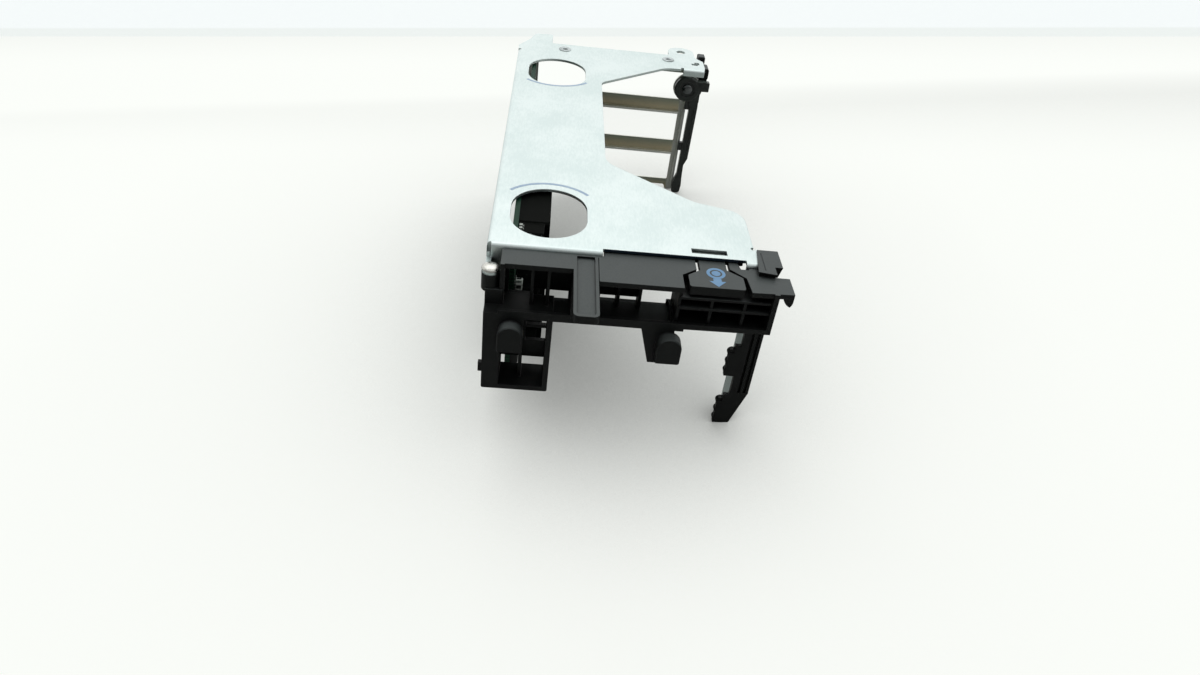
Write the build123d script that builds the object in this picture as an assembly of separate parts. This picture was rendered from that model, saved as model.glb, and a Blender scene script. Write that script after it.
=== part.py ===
from build123d import *
import math
import os

# A three-slot riser cage: a folded sheet-metal cage, a moulded front carrier,
# a riser board with three card slots, a card guide and a slot retainer.
# Millimetres. X runs to the right, Y to the rear, Z up. While it is built, the
# origin is the corner where the faces of the plate, the left wall and the
# front lip would meet. At the end everything is moved as one, so that the
# origin is the middle of the outline, on the lowest point.

# Sheet metal
SHEET = 1.0
BEND_IN = 0.2
BEND_OUT = BEND_IN + SHEET
PLATE_WIDTH = 79.8
PLATE_REAR = 173.5
WALL_REAR = 162.0
WALL_HEIGHT = 58.0
WALL_FRONT_HEIGHT = 46.0
WALL_SLOPE_FRONT = 13.0
WALL_SLOPE_REAR = 25.0
PLATE_FRONT = 2.1
NARROW_WIDTH = 35.8
CUT_FRONT = 59.4
CUT_REAR = 132.5
SHOULDER_X = 64.2
SHOULDER_Y = 35.8
CORNER_Y = 31.4
ARM_FRONT = 156.5
ARM_START = 64.1
LIP_WIDTH = 33.7
LIP_DEPTH = 5.0
SHORT_LIP_START = 76.5
SHORT_LIP_DEPTH = 3.4

# Finger holes in the plate
HOLE_WIDTH = 23.65
HOLE_LENGTH = 30.25
HOLE_X = 17.4
FRONT_HOLE_Y = 20.9
REAR_HOLE_Y = 139.2

# Slot in the plate for the carrier's locating bar
LOCATOR_LEFT = 60.3
LOCATOR_RIGHT = 71.1
LOCATOR_FRONT = 4.0
LOCATOR_REAR = 6.6
LOCATOR_CLEARANCE = 0.4

# Leg folded down at the plate's front right
LEG_OUTER = 81.8
LEG_FRONT = 1.0
LEG_REAR = 8.4
RELIEF_RADIUS = 0.75
CORNER_RELIEF_RADIUS = 0.65

# Tongue, ear and tab at the rear of the plate
TONGUE_LEFT = 72.4
TONGUE_RIGHT = 82.0
TONGUE_LIP = 2.8
EAR_X = 72.9
EAR_Y = 178.4
EAR_RADIUS = 5.8
EAR_HOLE_RADIUS = 2.0
TAB_LEFT = 4.5
TAB_RIGHT = 14.6
TAB_REAR = 185.0

# Card slots
SLOT_COUNT = 3
SLOT_PITCH = 20.32
FIRST_BAR_TOP = -19.3
BAR_HEIGHT = 6.4
WINDOW_HEAD = 4.6
BAR_LIP = 1.8
BOTTOM_BAR = 3.0
BRACKET_FACE = 172.3
WINDOW_LEFT = 9.0
WINDOW_RIGHT = 75.0
COLUMN_WIDTH = 2.8
FOOT_DROP = 2.4
FLANGE_DEPTH = 12.0
RIVET_LEFT_X = 20.2
RIVET_RIGHT_X = 66.2
RIVET_Y = 167.2
RIVET_RADIUS = 1.6
RIVET_HEAD_RADIUS = 2.7

# Riser board
BOARD = 1.6
BOARD_LEFT = 6.7
BOARD_FRONT = 3.0
BOARD_REAR = 159.5
BOARD_TOP = -1.8
BOARD_BOTTOM = -61.0
EDGE_FRONT = 44.0
EDGE_REAR = 132.0
EDGE_BOTTOM = -72.9
STANDOFF_RADIUS = 2.6
SCREW_RADIUS = 1.45
SCREW_HEAD_RADIUS = 2.8
SCREW_HEAD = 1.7

# Slot connectors
CARD_DROP = -5.9
CONNECTOR_LENGTH = 89.0
CONNECTOR_WIDTH = 7.5
CONNECTOR_HEIGHT = 9.7
CONNECTOR_FRONT = 18.0
CARD_THICKNESS = 1.57
CARD_CLEARANCE = 0.2
SLOT_DEPTH = 7.6
KEY_FROM_REAR = 14.5
KEY_WIDTH = 1.7
END_TOWER = 6.0
END_TOWER_SHORTER = 1.7

# Front carrier, with the hook and the prong at its right end
CARRIER_TOP = -1.2
CARRIER_BOTTOM = -16.4
CARRIER_RIGHT_BOTTOM = -15.3
CARRIER_FACE = -13.4
CARRIER_RIGHT = 84.3
FLANGE = 1.6
FLOOR = 1.0
BACK_WALL = 1.0
RIB = 0.9
BLOCK_LEFT = 5.2
BLOCK_FACE = -8.1
PULL_LEFT = 25.3
PULL_RIGHT = 32.4
PULL_FACE = -30.7
PULL_THICKNESS = 2.5
PULL_RIM = 0.95
PULL_RECESS = 0.7
BEAM_REAR = 7.0
LEG_BOX_LEFT = 0.5
LEG_BOX_RIGHT = 20.6
LEG_BOX_BOTTOM = -43.0
LEG_BOX_REAR = -2.4
LEDGE = -14.8
COLUMN_RIGHT = 5.6
COLUMN_SETBACK = 4.4
COLUMN_TOP = -9.8
PEG_WIDTH = 7.4
PEG_REACH = 4.0
PEG_TOP = -16.9
PEG_BOTTOM = -26.0
PEG_LEFT_X = 8.5
PEG_RIGHT_X = 54.9
BOSS_X = 1.8
BOSS_Y = -6.0
BOSS_RADIUS = 2.65
BOSS_TOP = -5.6
BOSS_BOTTOM = -11.0
CARRIER_SCREW_HEAD_RADIUS = 2.65
CARRIER_SCREW_HEAD = 0.9
PRONG_TOP = 0.4
PRONG_HEIGHT = 3.5
PRONG_LID = 0.05
PRONG_RIGHT = 86.9
PRONG_REAR = 8.2
PRONG_REAR_X = 80.5
PRONG_FRONT_X = 79.1
PRONG_NOSE = -1.1
PRONG_STEP = 2.4
HOOK_REACH = 4.4
HOOK_REAR = -4.2

# Release latch
LATCH_LEFT = 58.4
LATCH_RIGHT = 74.6
LATCH_FACE = -12.1
LATCH_STEM_LEFT = 62.2
LATCH_STEM_RIGHT = 70.2
LATCH_SHOULDER = -3.2
LATCH_REAR = 3.6
LATCH_THICKNESS = 1.6
LATCH_LIP = 2.8
LATCH_GAP = 1.05
LATCH_LEFT_GAP = 1.65
SHELF = 0.7
SHELF_TOP = -5.0
SHELF_STEP = 3.5

# Card guide on the folded leg
GUIDE_FACE = -0.6
GUIDE_REAR = 9.0
GUIDE_WIDTH = 5.0
GUIDE_LEFT = 77.0
GUIDE_BOTTOM = -62.4
GUIDE_TOE = 0.8
GUIDE_CHAMFER_Z = 13.4
GUIDE_GROOVE = 0.9
GUIDE_GAP = 8.2
LOBES = 3
LOBE_RADIUS = 1.5
LOBE_PITCH = 3.65
LOBE_REAR = 1.6

# Slot retainer at the rear right
HINGE_X = 76.7
HINGE_Z = -12.3
HUB_RADIUS = 5.75
HUB_FRONT = 165.6
RETAINER_REAR = 168.2
ARM_LEFT = 79.0
ARM_RIGHT = 82.6
ARM_BOTTOM = -64.2
ARM_FACE = 165.8
PAD_REACH = 2.1
PAD_HEIGHT = 4.0
THUMB_RIGHT = 86.4
FOOT_REACH = 1.9
THUMB_TOP = -8.4
THUMB_BOTTOM = -12.6
PIN_RADIUS = 1.5
PIN_CLEARANCE = 0.05
PIN_HEAD_RADIUS = 2.3
PIN_HEAD = 1.0
EAR_PLATE_RADIUS = 6.1
EAR_PLATE_FRONT = 168.5

# Places worked out from the sizes above
plate_under = -SHEET
bracket_inner = BRACKET_FACE - SHEET
board_face = BOARD_LEFT + BOARD
leg_inner = LEG_OUTER - SHEET
bar_tops = [FIRST_BAR_TOP - SLOT_PITCH * i for i in range(SLOT_COUNT)]
card_levels = [CARD_DROP - SLOT_PITCH * i for i in range(SLOT_COUNT)]
window_bottom = bar_tops[-1]
bracket_bottom = window_bottom - BOTTOM_BAR
foot_bottom = bracket_bottom - FOOT_DROP
column_right = WINDOW_RIGHT + COLUMN_WIDTH
floor_top = CARRIER_BOTTOM + FLOOR
back_face = -BACK_WALL
beam_end = LATCH_LEFT - LATCH_LEFT_GAP
guide_outer = LEG_OUTER + GUIDE_WIDTH
standoffs = [
    (WALL_SLOPE_FRONT, 10.0 - WALL_FRONT_HEIGHT),
    (WALL_SLOPE_REAR + 13.0, 1.5 - WALL_HEIGHT),
    (WALL_REAR - 12.0, -12.0),
    (WALL_REAR - 12.0, 4.0 - WALL_HEIGHT),
]


def outline(*points):
    """A flat face with straight sides."""
    return make_face(Polyline(*points, close=True))


def rounded(points, radii):
    """A flat face with its own corner radius at each point."""
    return make_face(FilletPolyline(*points, radius=radii, close=True))


def up(face, low, high):
    """A face drawn in X and Y, raised from one level to another."""
    return extrude(Pos(0, 0, low) * face, high - low)


def back(face, near, far):
    """A face drawn in X and Z, run from the near Y to the far Y."""
    return extrude(Plane.XZ.offset(-far) * face, far - near)


def across(face, left, right):
    """A face drawn in Y and Z, run from the left X to the right X."""
    return extrude(Plane.YZ.offset(left) * face, right - left)


def block(x0, x1, y0, y1, z0, z1):
    """A cuboid between two corners."""
    middle = Pos((x0 + x1) / 2, (y0 + y1) / 2, (z0 + z1) / 2)
    return middle * Box(x1 - x0, y1 - y0, z1 - z0)


def post_z(x, y, radius, low, high):
    """A round post that stands along Z."""
    return up(Pos(x, y) * Circle(radius), low, high)


def post_y(x, z, radius, near, far):
    """A round post that runs along Y."""
    return back(Pos(x, z) * Circle(radius), near, far)


def post_x(y, z, radius, left, right):
    """A round post that runs along X."""
    return across(Pos(y, z) * Circle(radius), left, right)


def bend(side, down=-1):
    """The quarter ring of a fold, about its own centre."""
    ring = Circle(BEND_OUT) - Circle(BEND_IN)
    quarter = Pos(side * BEND_OUT / 2, -down * BEND_OUT / 2) * Rectangle(BEND_OUT, BEND_OUT)
    return ring & quarter


def plate_outline():
    """The flat of the plate, from its front left corner round."""
    corner_points = [
        (BEND_OUT, BEND_OUT),
        (LIP_WIDTH, BEND_OUT),
        (LIP_WIDTH, PLATE_FRONT),
        (SHORT_LIP_START, PLATE_FRONT),
        (SHORT_LIP_START, BEND_OUT),
        (LEG_OUTER - BEND_OUT, BEND_OUT),
        (LEG_OUTER - BEND_OUT, LEG_REAR + RELIEF_RADIUS),
        (PLATE_WIDTH, LEG_REAR + RELIEF_RADIUS),
        (PLATE_WIDTH, CORNER_Y),
        (SHOULDER_X, SHOULDER_Y),
        (NARROW_WIDTH, CUT_FRONT),
        (NARROW_WIDTH, CUT_REAR),
        (ARM_START, ARM_FRONT),
        (TONGUE_LEFT - 1.2, ARM_FRONT + 0.4),
        (TONGUE_LEFT - 1.2, ARM_FRONT + BEND_OUT + 0.9),
        (TONGUE_LEFT, ARM_FRONT + BEND_OUT + 0.9),
        (TONGUE_LEFT, ARM_FRONT + BEND_OUT),
        (TONGUE_RIGHT - 0.4, ARM_FRONT + BEND_OUT),
        (TONGUE_RIGHT, ARM_FRONT + 4.0),
        (TONGUE_RIGHT, PLATE_REAR - 5.0),
        (TONGUE_RIGHT - 3.0, PLATE_REAR - 1.5),
        (EAR_X + EAR_RADIUS, PLATE_REAR),
        (EAR_X + EAR_RADIUS, EAR_Y + EAR_RADIUS),
        (EAR_X - EAR_RADIUS, EAR_Y + EAR_RADIUS),
        (EAR_X - EAR_RADIUS, PLATE_REAR),
        (TAB_RIGHT, PLATE_REAR),
        (TAB_RIGHT, TAB_REAR),
        (TAB_LEFT + 2.2, TAB_REAR - 0.8),
        (TAB_LEFT, PLATE_REAR + 3.0),
        (0.0, WALL_REAR + 5.5),
        (0.0, WALL_REAR + 0.8),
        (BEND_OUT, WALL_REAR + 0.8),
    ]
    radii = [0, 0, 0, 0, 0, 0, 0, 0, 8, 10, 9, 4, 10, 0, 0, 0, 0, 0, 0, 2, 1.5, 1.2]
    radii += [EAR_RADIUS - 0.3, EAR_RADIUS - 0.3, 1.2, 0, 1.4, 2.2, 1.5, 1.5, 0, 0]
    return rounded(corner_points, radii)


def wall_outline():
    """The left wall, in Y and Z."""
    return rounded(
        [
            (0.3, -BEND_OUT),
            (WALL_REAR, -BEND_OUT),
            (WALL_REAR, -9.0),
            (bracket_inner - 0.3, -9.0),
            (bracket_inner - 0.3, -WALL_HEIGHT),
            (WALL_SLOPE_REAR, -WALL_HEIGHT),
            (WALL_SLOPE_FRONT, -WALL_FRONT_HEIGHT),
            (0.3, -WALL_FRONT_HEIGHT),
        ],
        [0, 0, 0, 0, 0, 3.0, 3.0, 1.5],
    )


def screw_tab():
    """The small tab of the left wall that the carrier screw clamps."""
    level = BOSS_TOP + SHEET
    tip = post_z(BOSS_X, BOSS_Y, CARRIER_SCREW_HEAD_RADIUS - 0.25, BOSS_TOP, level)
    strap = block(0.0, BOSS_X - 0.3, BOSS_Y, 0.4, BOSS_TOP, level)
    root = block(0.0, SHEET, -1.4, 0.4, BOSS_TOP - 2.0, level)
    hole = post_z(BOSS_X, BOSS_Y, SCREW_RADIUS + 0.1, BOSS_TOP - 1, level + 1)
    return tip + strap + root - hole


def finger_hole(y):
    """A long round-ended hole through the plate, its rim eased."""
    return up(Pos(HOLE_X, y) * SlotOverall(HOLE_LENGTH, HOLE_WIDTH, rotation=90), -3, 2)


def make_top_plate():
    """The folded cage: plate, left wall, front lips, right leg, ear and tab."""
    flat = up(plate_outline(), plate_under, 0)
    wall = across(wall_outline(), 0, SHEET)
    wall_bend = back(Pos(BEND_OUT, -BEND_OUT) * bend(-1), BEND_OUT, WALL_REAR)
    lip = block(1.2, LIP_WIDTH, 0, SHEET, -LIP_DEPTH, -BEND_OUT)
    lip_bend = across(Pos(BEND_OUT, -BEND_OUT) * bend(-1), 1.2, LIP_WIDTH)
    short_end = LEG_OUTER - BEND_OUT
    short = block(SHORT_LIP_START, short_end, 0, SHEET, -SHORT_LIP_DEPTH, -BEND_OUT)
    short_bend = across(Pos(BEND_OUT, -BEND_OUT) * bend(-1), SHORT_LIP_START, short_end)
    leg = block(leg_inner, LEG_OUTER, LEG_FRONT, LEG_REAR, GUIDE_BOTTOM + 3.0, -BEND_OUT)
    leg_bend = back(Pos(LEG_OUTER - BEND_OUT, -BEND_OUT) * bend(1), BEND_OUT, LEG_REAR)
    tongue_y = ARM_FRONT + BEND_OUT
    tongue_bend = across(Pos(tongue_y, -BEND_OUT) * bend(-1), TONGUE_LEFT, TONGUE_RIGHT - 0.5)
    tongue_lip = block(
        TONGUE_LEFT, TONGUE_RIGHT - 0.5, ARM_FRONT, ARM_FRONT + SHEET, -TONGUE_LIP, -BEND_OUT
    )
    cage = flat + wall + wall_bend + lip + lip_bend + short + short_bend
    cage += leg + leg_bend + tongue_bend + tongue_lip + screw_tab()
    cage -= finger_hole(FRONT_HOLE_Y) + finger_hole(REAR_HOLE_Y)
    cage -= block(LOCATOR_LEFT, LOCATOR_RIGHT, LOCATOR_FRONT, LOCATOR_REAR, -3, 1)
    cage -= post_z(EAR_X, EAR_Y, EAR_HOLE_RADIUS, -3, 1)
    notch_x = TONGUE_RIGHT - 5.6
    notch_y = PLATE_REAR - 10.5
    cage -= block(notch_x, notch_x + 2.8, notch_y, notch_y + 2.0, -3, 1)
    cage -= block(notch_x + 1.4, notch_x + 3.6, notch_y + 1.0, notch_y + 3.6, -3, 1)
    for x in (RIVET_LEFT_X, RIVET_RIGHT_X):
        cage -= post_z(x, RIVET_Y, RIVET_RADIUS, -3, 1)
    cage -= post_z(PLATE_WIDTH - 0.2, LEG_REAR + RELIEF_RADIUS, RELIEF_RADIUS, -3, 1)
    cage -= post_z(CORNER_RELIEF_RADIUS, CORNER_RELIEF_RADIUS, CORNER_RELIEF_RADIUS, -3, 1)
    for y, z in standoffs:
        cage -= post_x(y, z, STANDOFF_RADIUS, -1, 2)
    return cage


def bracket_face_outline():
    """The rear bracket's upright sheet, in X and Z, with its three windows."""
    left = SHEET + 0.2
    sheet = rounded(
        [
            (left, -SHEET - BEND_OUT),
            (column_right, -SHEET - BEND_OUT),
            (column_right, foot_bottom),
            (WINDOW_RIGHT - 0.4, foot_bottom),
            (WINDOW_RIGHT - 1.2, bracket_bottom),
            (left, bracket_bottom),
        ],
        [0, 0, 0.8, 0.8, 0.8, 1.5],
    )
    for i, bottom in enumerate(bar_tops):
        above = -SHEET - BEND_OUT - WINDOW_HEAD if i == 0 else bar_tops[i - 1] - BAR_HEIGHT
        window = rounded(
            [(WINDOW_LEFT, bottom), (WINDOW_RIGHT, bottom), (WINDOW_RIGHT, above), (WINDOW_LEFT, above)],
            [0.8, 0.8, 0.8, 0.8],
        )
        sheet -= window
    return sheet


def hinge_ear():
    """The round ear that stands forward of the column and carries the pin."""
    ear_back = EAR_PLATE_FRONT + SHEET
    ear = post_y(HINGE_X, HINGE_Z, EAR_PLATE_RADIUS, EAR_PLATE_FRONT, ear_back)
    top = plate_under - SHEET - 0.4
    web = block(column_right - SHEET, column_right, EAR_PLATE_FRONT, BRACKET_FACE, HINGE_Z - 6.0, top - 1.6)
    pin_hole = post_y(HINGE_X, HINGE_Z, PIN_RADIUS, EAR_PLATE_FRONT - 1, ear_back + 1)
    pin_hole += post_y(HINGE_X, HINGE_Z, PIN_RADIUS + 1.0, ear_back, BRACKET_FACE + 1)
    reach = EAR_PLATE_RADIUS + 2
    above = block(HINGE_X - reach, HINGE_X + reach, EAR_PLATE_FRONT - 1, ear_back + 1, top, top + reach)
    return ear + web - pin_hole - above


def make_rear_bracket():
    """Upright with three card windows, a riveted top flange and side flanges."""
    sheet = back(bracket_face_outline(), bracket_inner, BRACKET_FACE)
    flange_low = plate_under - SHEET
    flange_front = BRACKET_FACE - FLANGE_DEPTH
    flange_right = TONGUE_LEFT - 0.8
    bend_y = BRACKET_FACE - BEND_OUT
    bend_z = plate_under - BEND_OUT
    flange = block(SHEET + 1.2, flange_right, flange_front, bend_y, flange_low, plate_under)
    fold = across(Pos(bend_y, bend_z) * bend(1), SHEET + 1.2, flange_right)
    solid = sheet + flange + fold
    for top in bar_tops[:-1]:
        low = top - BAR_HEIGHT
        lip = block(WINDOW_LEFT, WINDOW_RIGHT, bracket_inner - BAR_LIP, BRACKET_FACE, low, low + SHEET)
        solid += lip
    wall_side = SHEET + 0.2
    left_flange = block(wall_side, wall_side + SHEET, 160.0, BRACKET_FACE, bracket_bottom + 5, -8.0)
    right_flange = block(
        column_right - SHEET, column_right, EAR_PLATE_FRONT, BRACKET_FACE, bracket_bottom + 1.0, -19.5
    )
    solid += left_flange + right_flange + hinge_ear()
    for x in (RIVET_LEFT_X, RIVET_RIGHT_X):
        solid -= post_z(x, RIVET_Y, RIVET_RADIUS, flange_low - 1, plate_under + 1)
    return solid


def make_rivets():
    """Two flat-headed rivets through the plate and the bracket's flange."""
    low = plate_under - SHEET
    rivets = []
    for x in (RIVET_LEFT_X, RIVET_RIGHT_X):
        shank = post_z(x, RIVET_Y, RIVET_RADIUS, low, 0)
        head = post_z(x, RIVET_Y, RIVET_HEAD_RADIUS, 0, 0.35)
        head = chamfer(head.edges().group_by(Axis.Z)[-1], 0.25)
        tail = post_z(x, RIVET_Y, RIVET_HEAD_RADIUS, low - 0.7, low)
        rivets.append(shank + head + tail)
    return rivets


def make_board():
    """The riser board, with the plug edge at its bottom."""
    edge_taper = 0.5
    face = rounded(
        [
            (BOARD_FRONT, BOARD_TOP),
            (BOARD_REAR, BOARD_TOP),
            (BOARD_REAR, BOARD_BOTTOM),
            (EDGE_REAR, BOARD_BOTTOM),
            (EDGE_REAR, EDGE_BOTTOM),
            (EDGE_FRONT, EDGE_BOTTOM),
            (EDGE_FRONT, BOARD_BOTTOM),
            (BOARD_FRONT + 13.0, BOARD_BOTTOM),
            (BOARD_FRONT, BOARD_BOTTOM + 9.0),
        ],
        [1, 1, 0, 0, 0, 0, 0, 0, 0],
    )
    board = across(face, BOARD_LEFT, board_face)
    key_y = EDGE_REAR - KEY_FROM_REAR
    board -= block(0, 20, key_y, key_y + KEY_WIDTH, EDGE_BOTTOM - 1, EDGE_BOTTOM + 8.0)
    for side in (BOARD_LEFT, board_face):
        inward = edge_taper if side == BOARD_LEFT else -edge_taper
        wedge = outline(
            (side, EDGE_BOTTOM),
            (side + inward, EDGE_BOTTOM),
            (side, EDGE_BOTTOM + 1.2),
        )
        board -= back(wedge, EDGE_FRONT, EDGE_REAR)
    for y, z in standoffs:
        board -= post_x(y, z, SCREW_RADIUS + 0.15, BOARD_LEFT - 1, board_face + 1)
    return board


def make_standoffs():
    """Threaded posts pressed into the left wall, which hold the board off it."""
    posts = []
    for y, z in standoffs:
        post = post_x(y, z, STANDOFF_RADIUS, 0, BOARD_LEFT)
        bore = post_x(y, z, SCREW_RADIUS + 0.05, -1, BOARD_LEFT + 1)
        posts.append(post - bore)
    return posts


def make_board_screws():
    """Round-headed screws with a cross recess, one for each post."""
    screws = []
    for y, z in standoffs:
        shank = post_x(y, z, SCREW_RADIUS, BOARD_LEFT - 4.4, board_face)
        head = post_x(y, z, SCREW_HEAD_RADIUS, board_face, board_face + SCREW_HEAD)
        head = chamfer(head.edges().group_by(Axis.X)[-1], 0.7)
        top = board_face + SCREW_HEAD
        slot = block(top - 0.8, top + 1, y - 1.5, y + 1.5, z - 0.3, z + 0.3)
        cross = block(top - 0.8, top + 1, y - 0.3, y + 0.3, z - 1.5, z + 1.5)
        screws.append(shank + head - slot - cross)
    return screws


def make_connector(level):
    """A card-edge slot that stands off the board, keyed and open to the right."""
    half = CONNECTOR_WIDTH / 2
    rear = CONNECTOR_FRONT + CONNECTOR_LENGTH
    mouth = board_face + CONNECTOR_HEIGHT
    body = block(board_face, mouth, CONNECTOR_FRONT, rear, level - half, level + half)
    body = chamfer(body.edges().filter_by(Axis.X), 0.6)
    tower_half = half - 0.5
    tower = block(
        board_face, mouth - END_TOWER_SHORTER, CONNECTOR_FRONT - END_TOWER, CONNECTOR_FRONT + 0.5,
        level - tower_half, level + tower_half,
    )
    body += chamfer(tower.edges().group_by(Axis.Y)[0], 0.5)
    gap = CARD_THICKNESS / 2 + CARD_CLEARANCE / 2
    slot = block(mouth - SLOT_DEPTH, mouth + 1, CONNECTOR_FRONT + 1.8, rear - 1.8, level - gap, level + gap)
    lead = 0.7
    funnel = outline(
        (mouth - lead, level - gap),
        (mouth + 0.01, level - gap - lead),
        (mouth + 0.01, level + gap + lead),
        (mouth - lead, level + gap),
    )
    funnel = back(funnel, CONNECTOR_FRONT + 1.8, rear - 1.8)
    key_y = rear - KEY_FROM_REAR
    key = block(mouth - SLOT_DEPTH, mouth - 0.8, key_y, key_y + KEY_WIDTH, level - half + 1, level + half - 1)
    return body - slot - funnel + key


def make_can_capacitor():
    """A round metal-can capacitor on its square base, near the board's front."""
    y = 6.2
    z = -17.4
    can_radius = 2.0
    foot = can_radius + 0.15
    base = block(board_face, board_face + 0.6, y - foot, y + foot, z - foot, z + foot)
    base = chamfer(base.edges().filter_by(Axis.X), 0.6)
    can = post_x(y, z, can_radius, board_face + 0.6, board_face + 2.6)
    can = chamfer(can.edges().group_by(Axis.X)[-1], 0.3)
    return base + can


def make_chip_capacitors():
    """Moulded block capacitors in a row beside the can."""
    blocks = []
    for y, z in ((6.6, -27.0), (6.6, -36.0), (6.6, -44.6)):
        body = block(board_face, board_face + 2.6, y - 1.6, y + 1.6, z - 3.0, z + 3.0)
        blocks.append(chamfer(body.edges().group_by(Axis.X)[-1], 0.3))
    return blocks


def make_buffer_chip():
    """A flat square chip between the slots and the board's front edge."""
    y = 23.0
    z = -36.3
    body = block(board_face, board_face + 1.0, y - 3.0, y + 3.0, z - 3.0, z + 3.0)
    return chamfer(body.edges().group_by(Axis.X)[-1], 0.15)


def channel_section():
    """The carrier's beam in Y and Z: an open-fronted channel."""
    return outline(
        (0, CARRIER_TOP),
        (0, CARRIER_BOTTOM),
        (CARRIER_FACE, CARRIER_BOTTOM),
        (CARRIER_FACE, CARRIER_BOTTOM + 2.6),
        (CARRIER_FACE + 1.2, CARRIER_BOTTOM + 2.6),
        (CARRIER_FACE + 1.2, floor_top),
        (back_face, floor_top),
        (back_face, CARRIER_TOP),
    )


def beam_top():
    """The beam's top flange from the finger pull to the latch, in X and Y."""
    stem_side = LATCH_STEM_LEFT - LATCH_GAP
    return outline(
        (PULL_RIGHT + 0.2, CARRIER_FACE),
        (beam_end, CARRIER_FACE),
        (beam_end, LATCH_SHOULDER - 3.2),
        (stem_side, LATCH_SHOULDER + 0.2),
        (stem_side, BEAM_REAR),
        (LIP_WIDTH + 0.6, BEAM_REAR),
        (LIP_WIDTH + 0.6, back_face),
        (PULL_RIGHT + 0.2, back_face),
    )


def right_top():
    """The top flange right of the latch, with its see-through window."""
    gap = LATCH_GAP
    overhang = CARRIER_RIGHT + HOOK_REACH
    lip_end = SHORT_LIP_START - 0.5
    face = outline(
        (LATCH_STEM_RIGHT + gap, BEAM_REAR),
        (LATCH_STEM_RIGHT + gap, LATCH_SHOULDER + 1.6),
        (LATCH_RIGHT + gap, LATCH_SHOULDER - 2.6),
        (LATCH_RIGHT + gap + 0.6, CARRIER_FACE + 0.3),
        (overhang, CARRIER_FACE + 0.8),
        (overhang, HOOK_REAR),
        (PRONG_RIGHT - PRONG_STEP, HOOK_REAR),
        (PRONG_RIGHT - PRONG_STEP, -0.3),
        (lip_end, -0.3),
        (lip_end, BEAM_REAR),
    )
    left = LATCH_STEM_RIGHT + 3.5
    window = outline((left, 3.4), (lip_end + 1, 3.4), (lip_end + 1, -1.1), (left + 0.9, -1.1))
    return face - window


def prong():
    """The finger right of the leg, with a thin lid that laps over the fold."""
    side = LEG_OUTER + 0.2
    lid = outline(
        (PRONG_REAR_X, PRONG_REAR),
        (PRONG_RIGHT, PRONG_REAR),
        (PRONG_RIGHT, PRONG_NOSE),
        (PRONG_RIGHT - PRONG_STEP, PRONG_NOSE),
        (PRONG_RIGHT - PRONG_STEP, HOOK_REAR - 1.0),
        (PRONG_FRONT_X, HOOK_REAR),
    )
    solid = up(lid, PRONG_LID, PRONG_TOP)
    low = PRONG_TOP - PRONG_HEIGHT
    solid += block(side, PRONG_RIGHT - PRONG_STEP, HOOK_REAR, PRONG_REAR, low, PRONG_TOP)
    nose = outline(
        (PRONG_RIGHT - PRONG_STEP - 0.1, PRONG_TOP),
        (PRONG_RIGHT, PRONG_TOP),
        (PRONG_RIGHT - 0.9, low),
        (PRONG_RIGHT - PRONG_STEP - 0.1, low),
    )
    solid += back(nose, PRONG_NOSE, PRONG_REAR)
    root = block(PRONG_FRONT_X + 0.4, side + 0.1, HOOK_REAR + 0.2, -0.3, CARRIER_TOP - 0.2, PRONG_TOP)
    groove = block(side - 0.9, side - 0.5, HOOK_REAR + 1.0, PRONG_REAR - 2.0, PRONG_TOP - 0.15, PRONG_TOP + 1)
    return solid + root - groove


def hook_outline():
    """The curved hook that hangs below the right overhang, in X and Z."""
    right = CARRIER_RIGHT + HOOK_REACH
    root = right - 3.1
    top = CARRIER_TOP - FLANGE + 0.1
    tip = top - 2.9
    side = Line((right, top), (right, top - 1.0))
    outer = ThreePointArc((right, top - 1.0), (right - 0.2, top - 2.1), (right - 0.7, tip))
    inner = ThreePointArc((right - 0.7, tip), (right - 2.3, top - 1.6), (root, top))
    lid = Line((root, top), (right, top))
    return make_face(Wire([side, outer, inner, lid]))


def peg(x, root):
    """A round-topped peg that stands out of the carrier's face."""
    half = PEG_WIDTH / 2
    tip = CARRIER_FACE - PEG_REACH
    centre = PEG_TOP - half
    front = rounded(
        [(x - half, PEG_BOTTOM), (x + half, PEG_BOTTOM), (x + half, centre), (x - half, centre)],
        [0.75, 0.75, 0, 0],
    )
    arch = front + Pos(x, centre) * Circle(half)
    solid = back(arch, tip, CARRIER_FACE)
    solid = chamfer(solid.edges().group_by(Axis.Y)[0], 0.3)
    gusset = outline(
        (tip + 0.6, PEG_BOTTOM + 0.8),
        (root, PEG_BOTTOM + 0.8),
        (root, PEG_BOTTOM - 2.6),
        (CARRIER_FACE, PEG_BOTTOM - 2.6),
    )
    return solid + across(gusset, x - half + 0.4, x + half - 0.4)


def finger_pull():
    """The flat tongue that reaches forward, its panel sunk inside a raised rim."""
    low = CARRIER_TOP - PULL_THICKNESS
    corner = 1.6
    face = rounded(
        [(PULL_LEFT, -0.4), (PULL_LEFT, PULL_FACE), (PULL_RIGHT, PULL_FACE), (PULL_RIGHT, -0.4)],
        [0, corner, corner, 0],
    )
    panel = rounded(
        [
            (PULL_LEFT + PULL_RIM, 1.0),
            (PULL_LEFT + PULL_RIM, PULL_FACE + PULL_RIM),
            (PULL_RIGHT - PULL_RIM, PULL_FACE + PULL_RIM),
            (PULL_RIGHT - PULL_RIM, 1.0),
        ],
        [0, corner - 0.6, corner - 0.6, 0],
    )
    pull = up(face, low, CARRIER_TOP)
    pull -= up(panel, CARRIER_TOP - PULL_RECESS, CARRIER_TOP + 1)
    web = 1.2
    for x in (PULL_LEFT, PULL_RIGHT - web):
        pull += block(x, x + web, CARRIER_FACE, -0.4, CARRIER_BOTTOM, low)
    return pull


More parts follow.
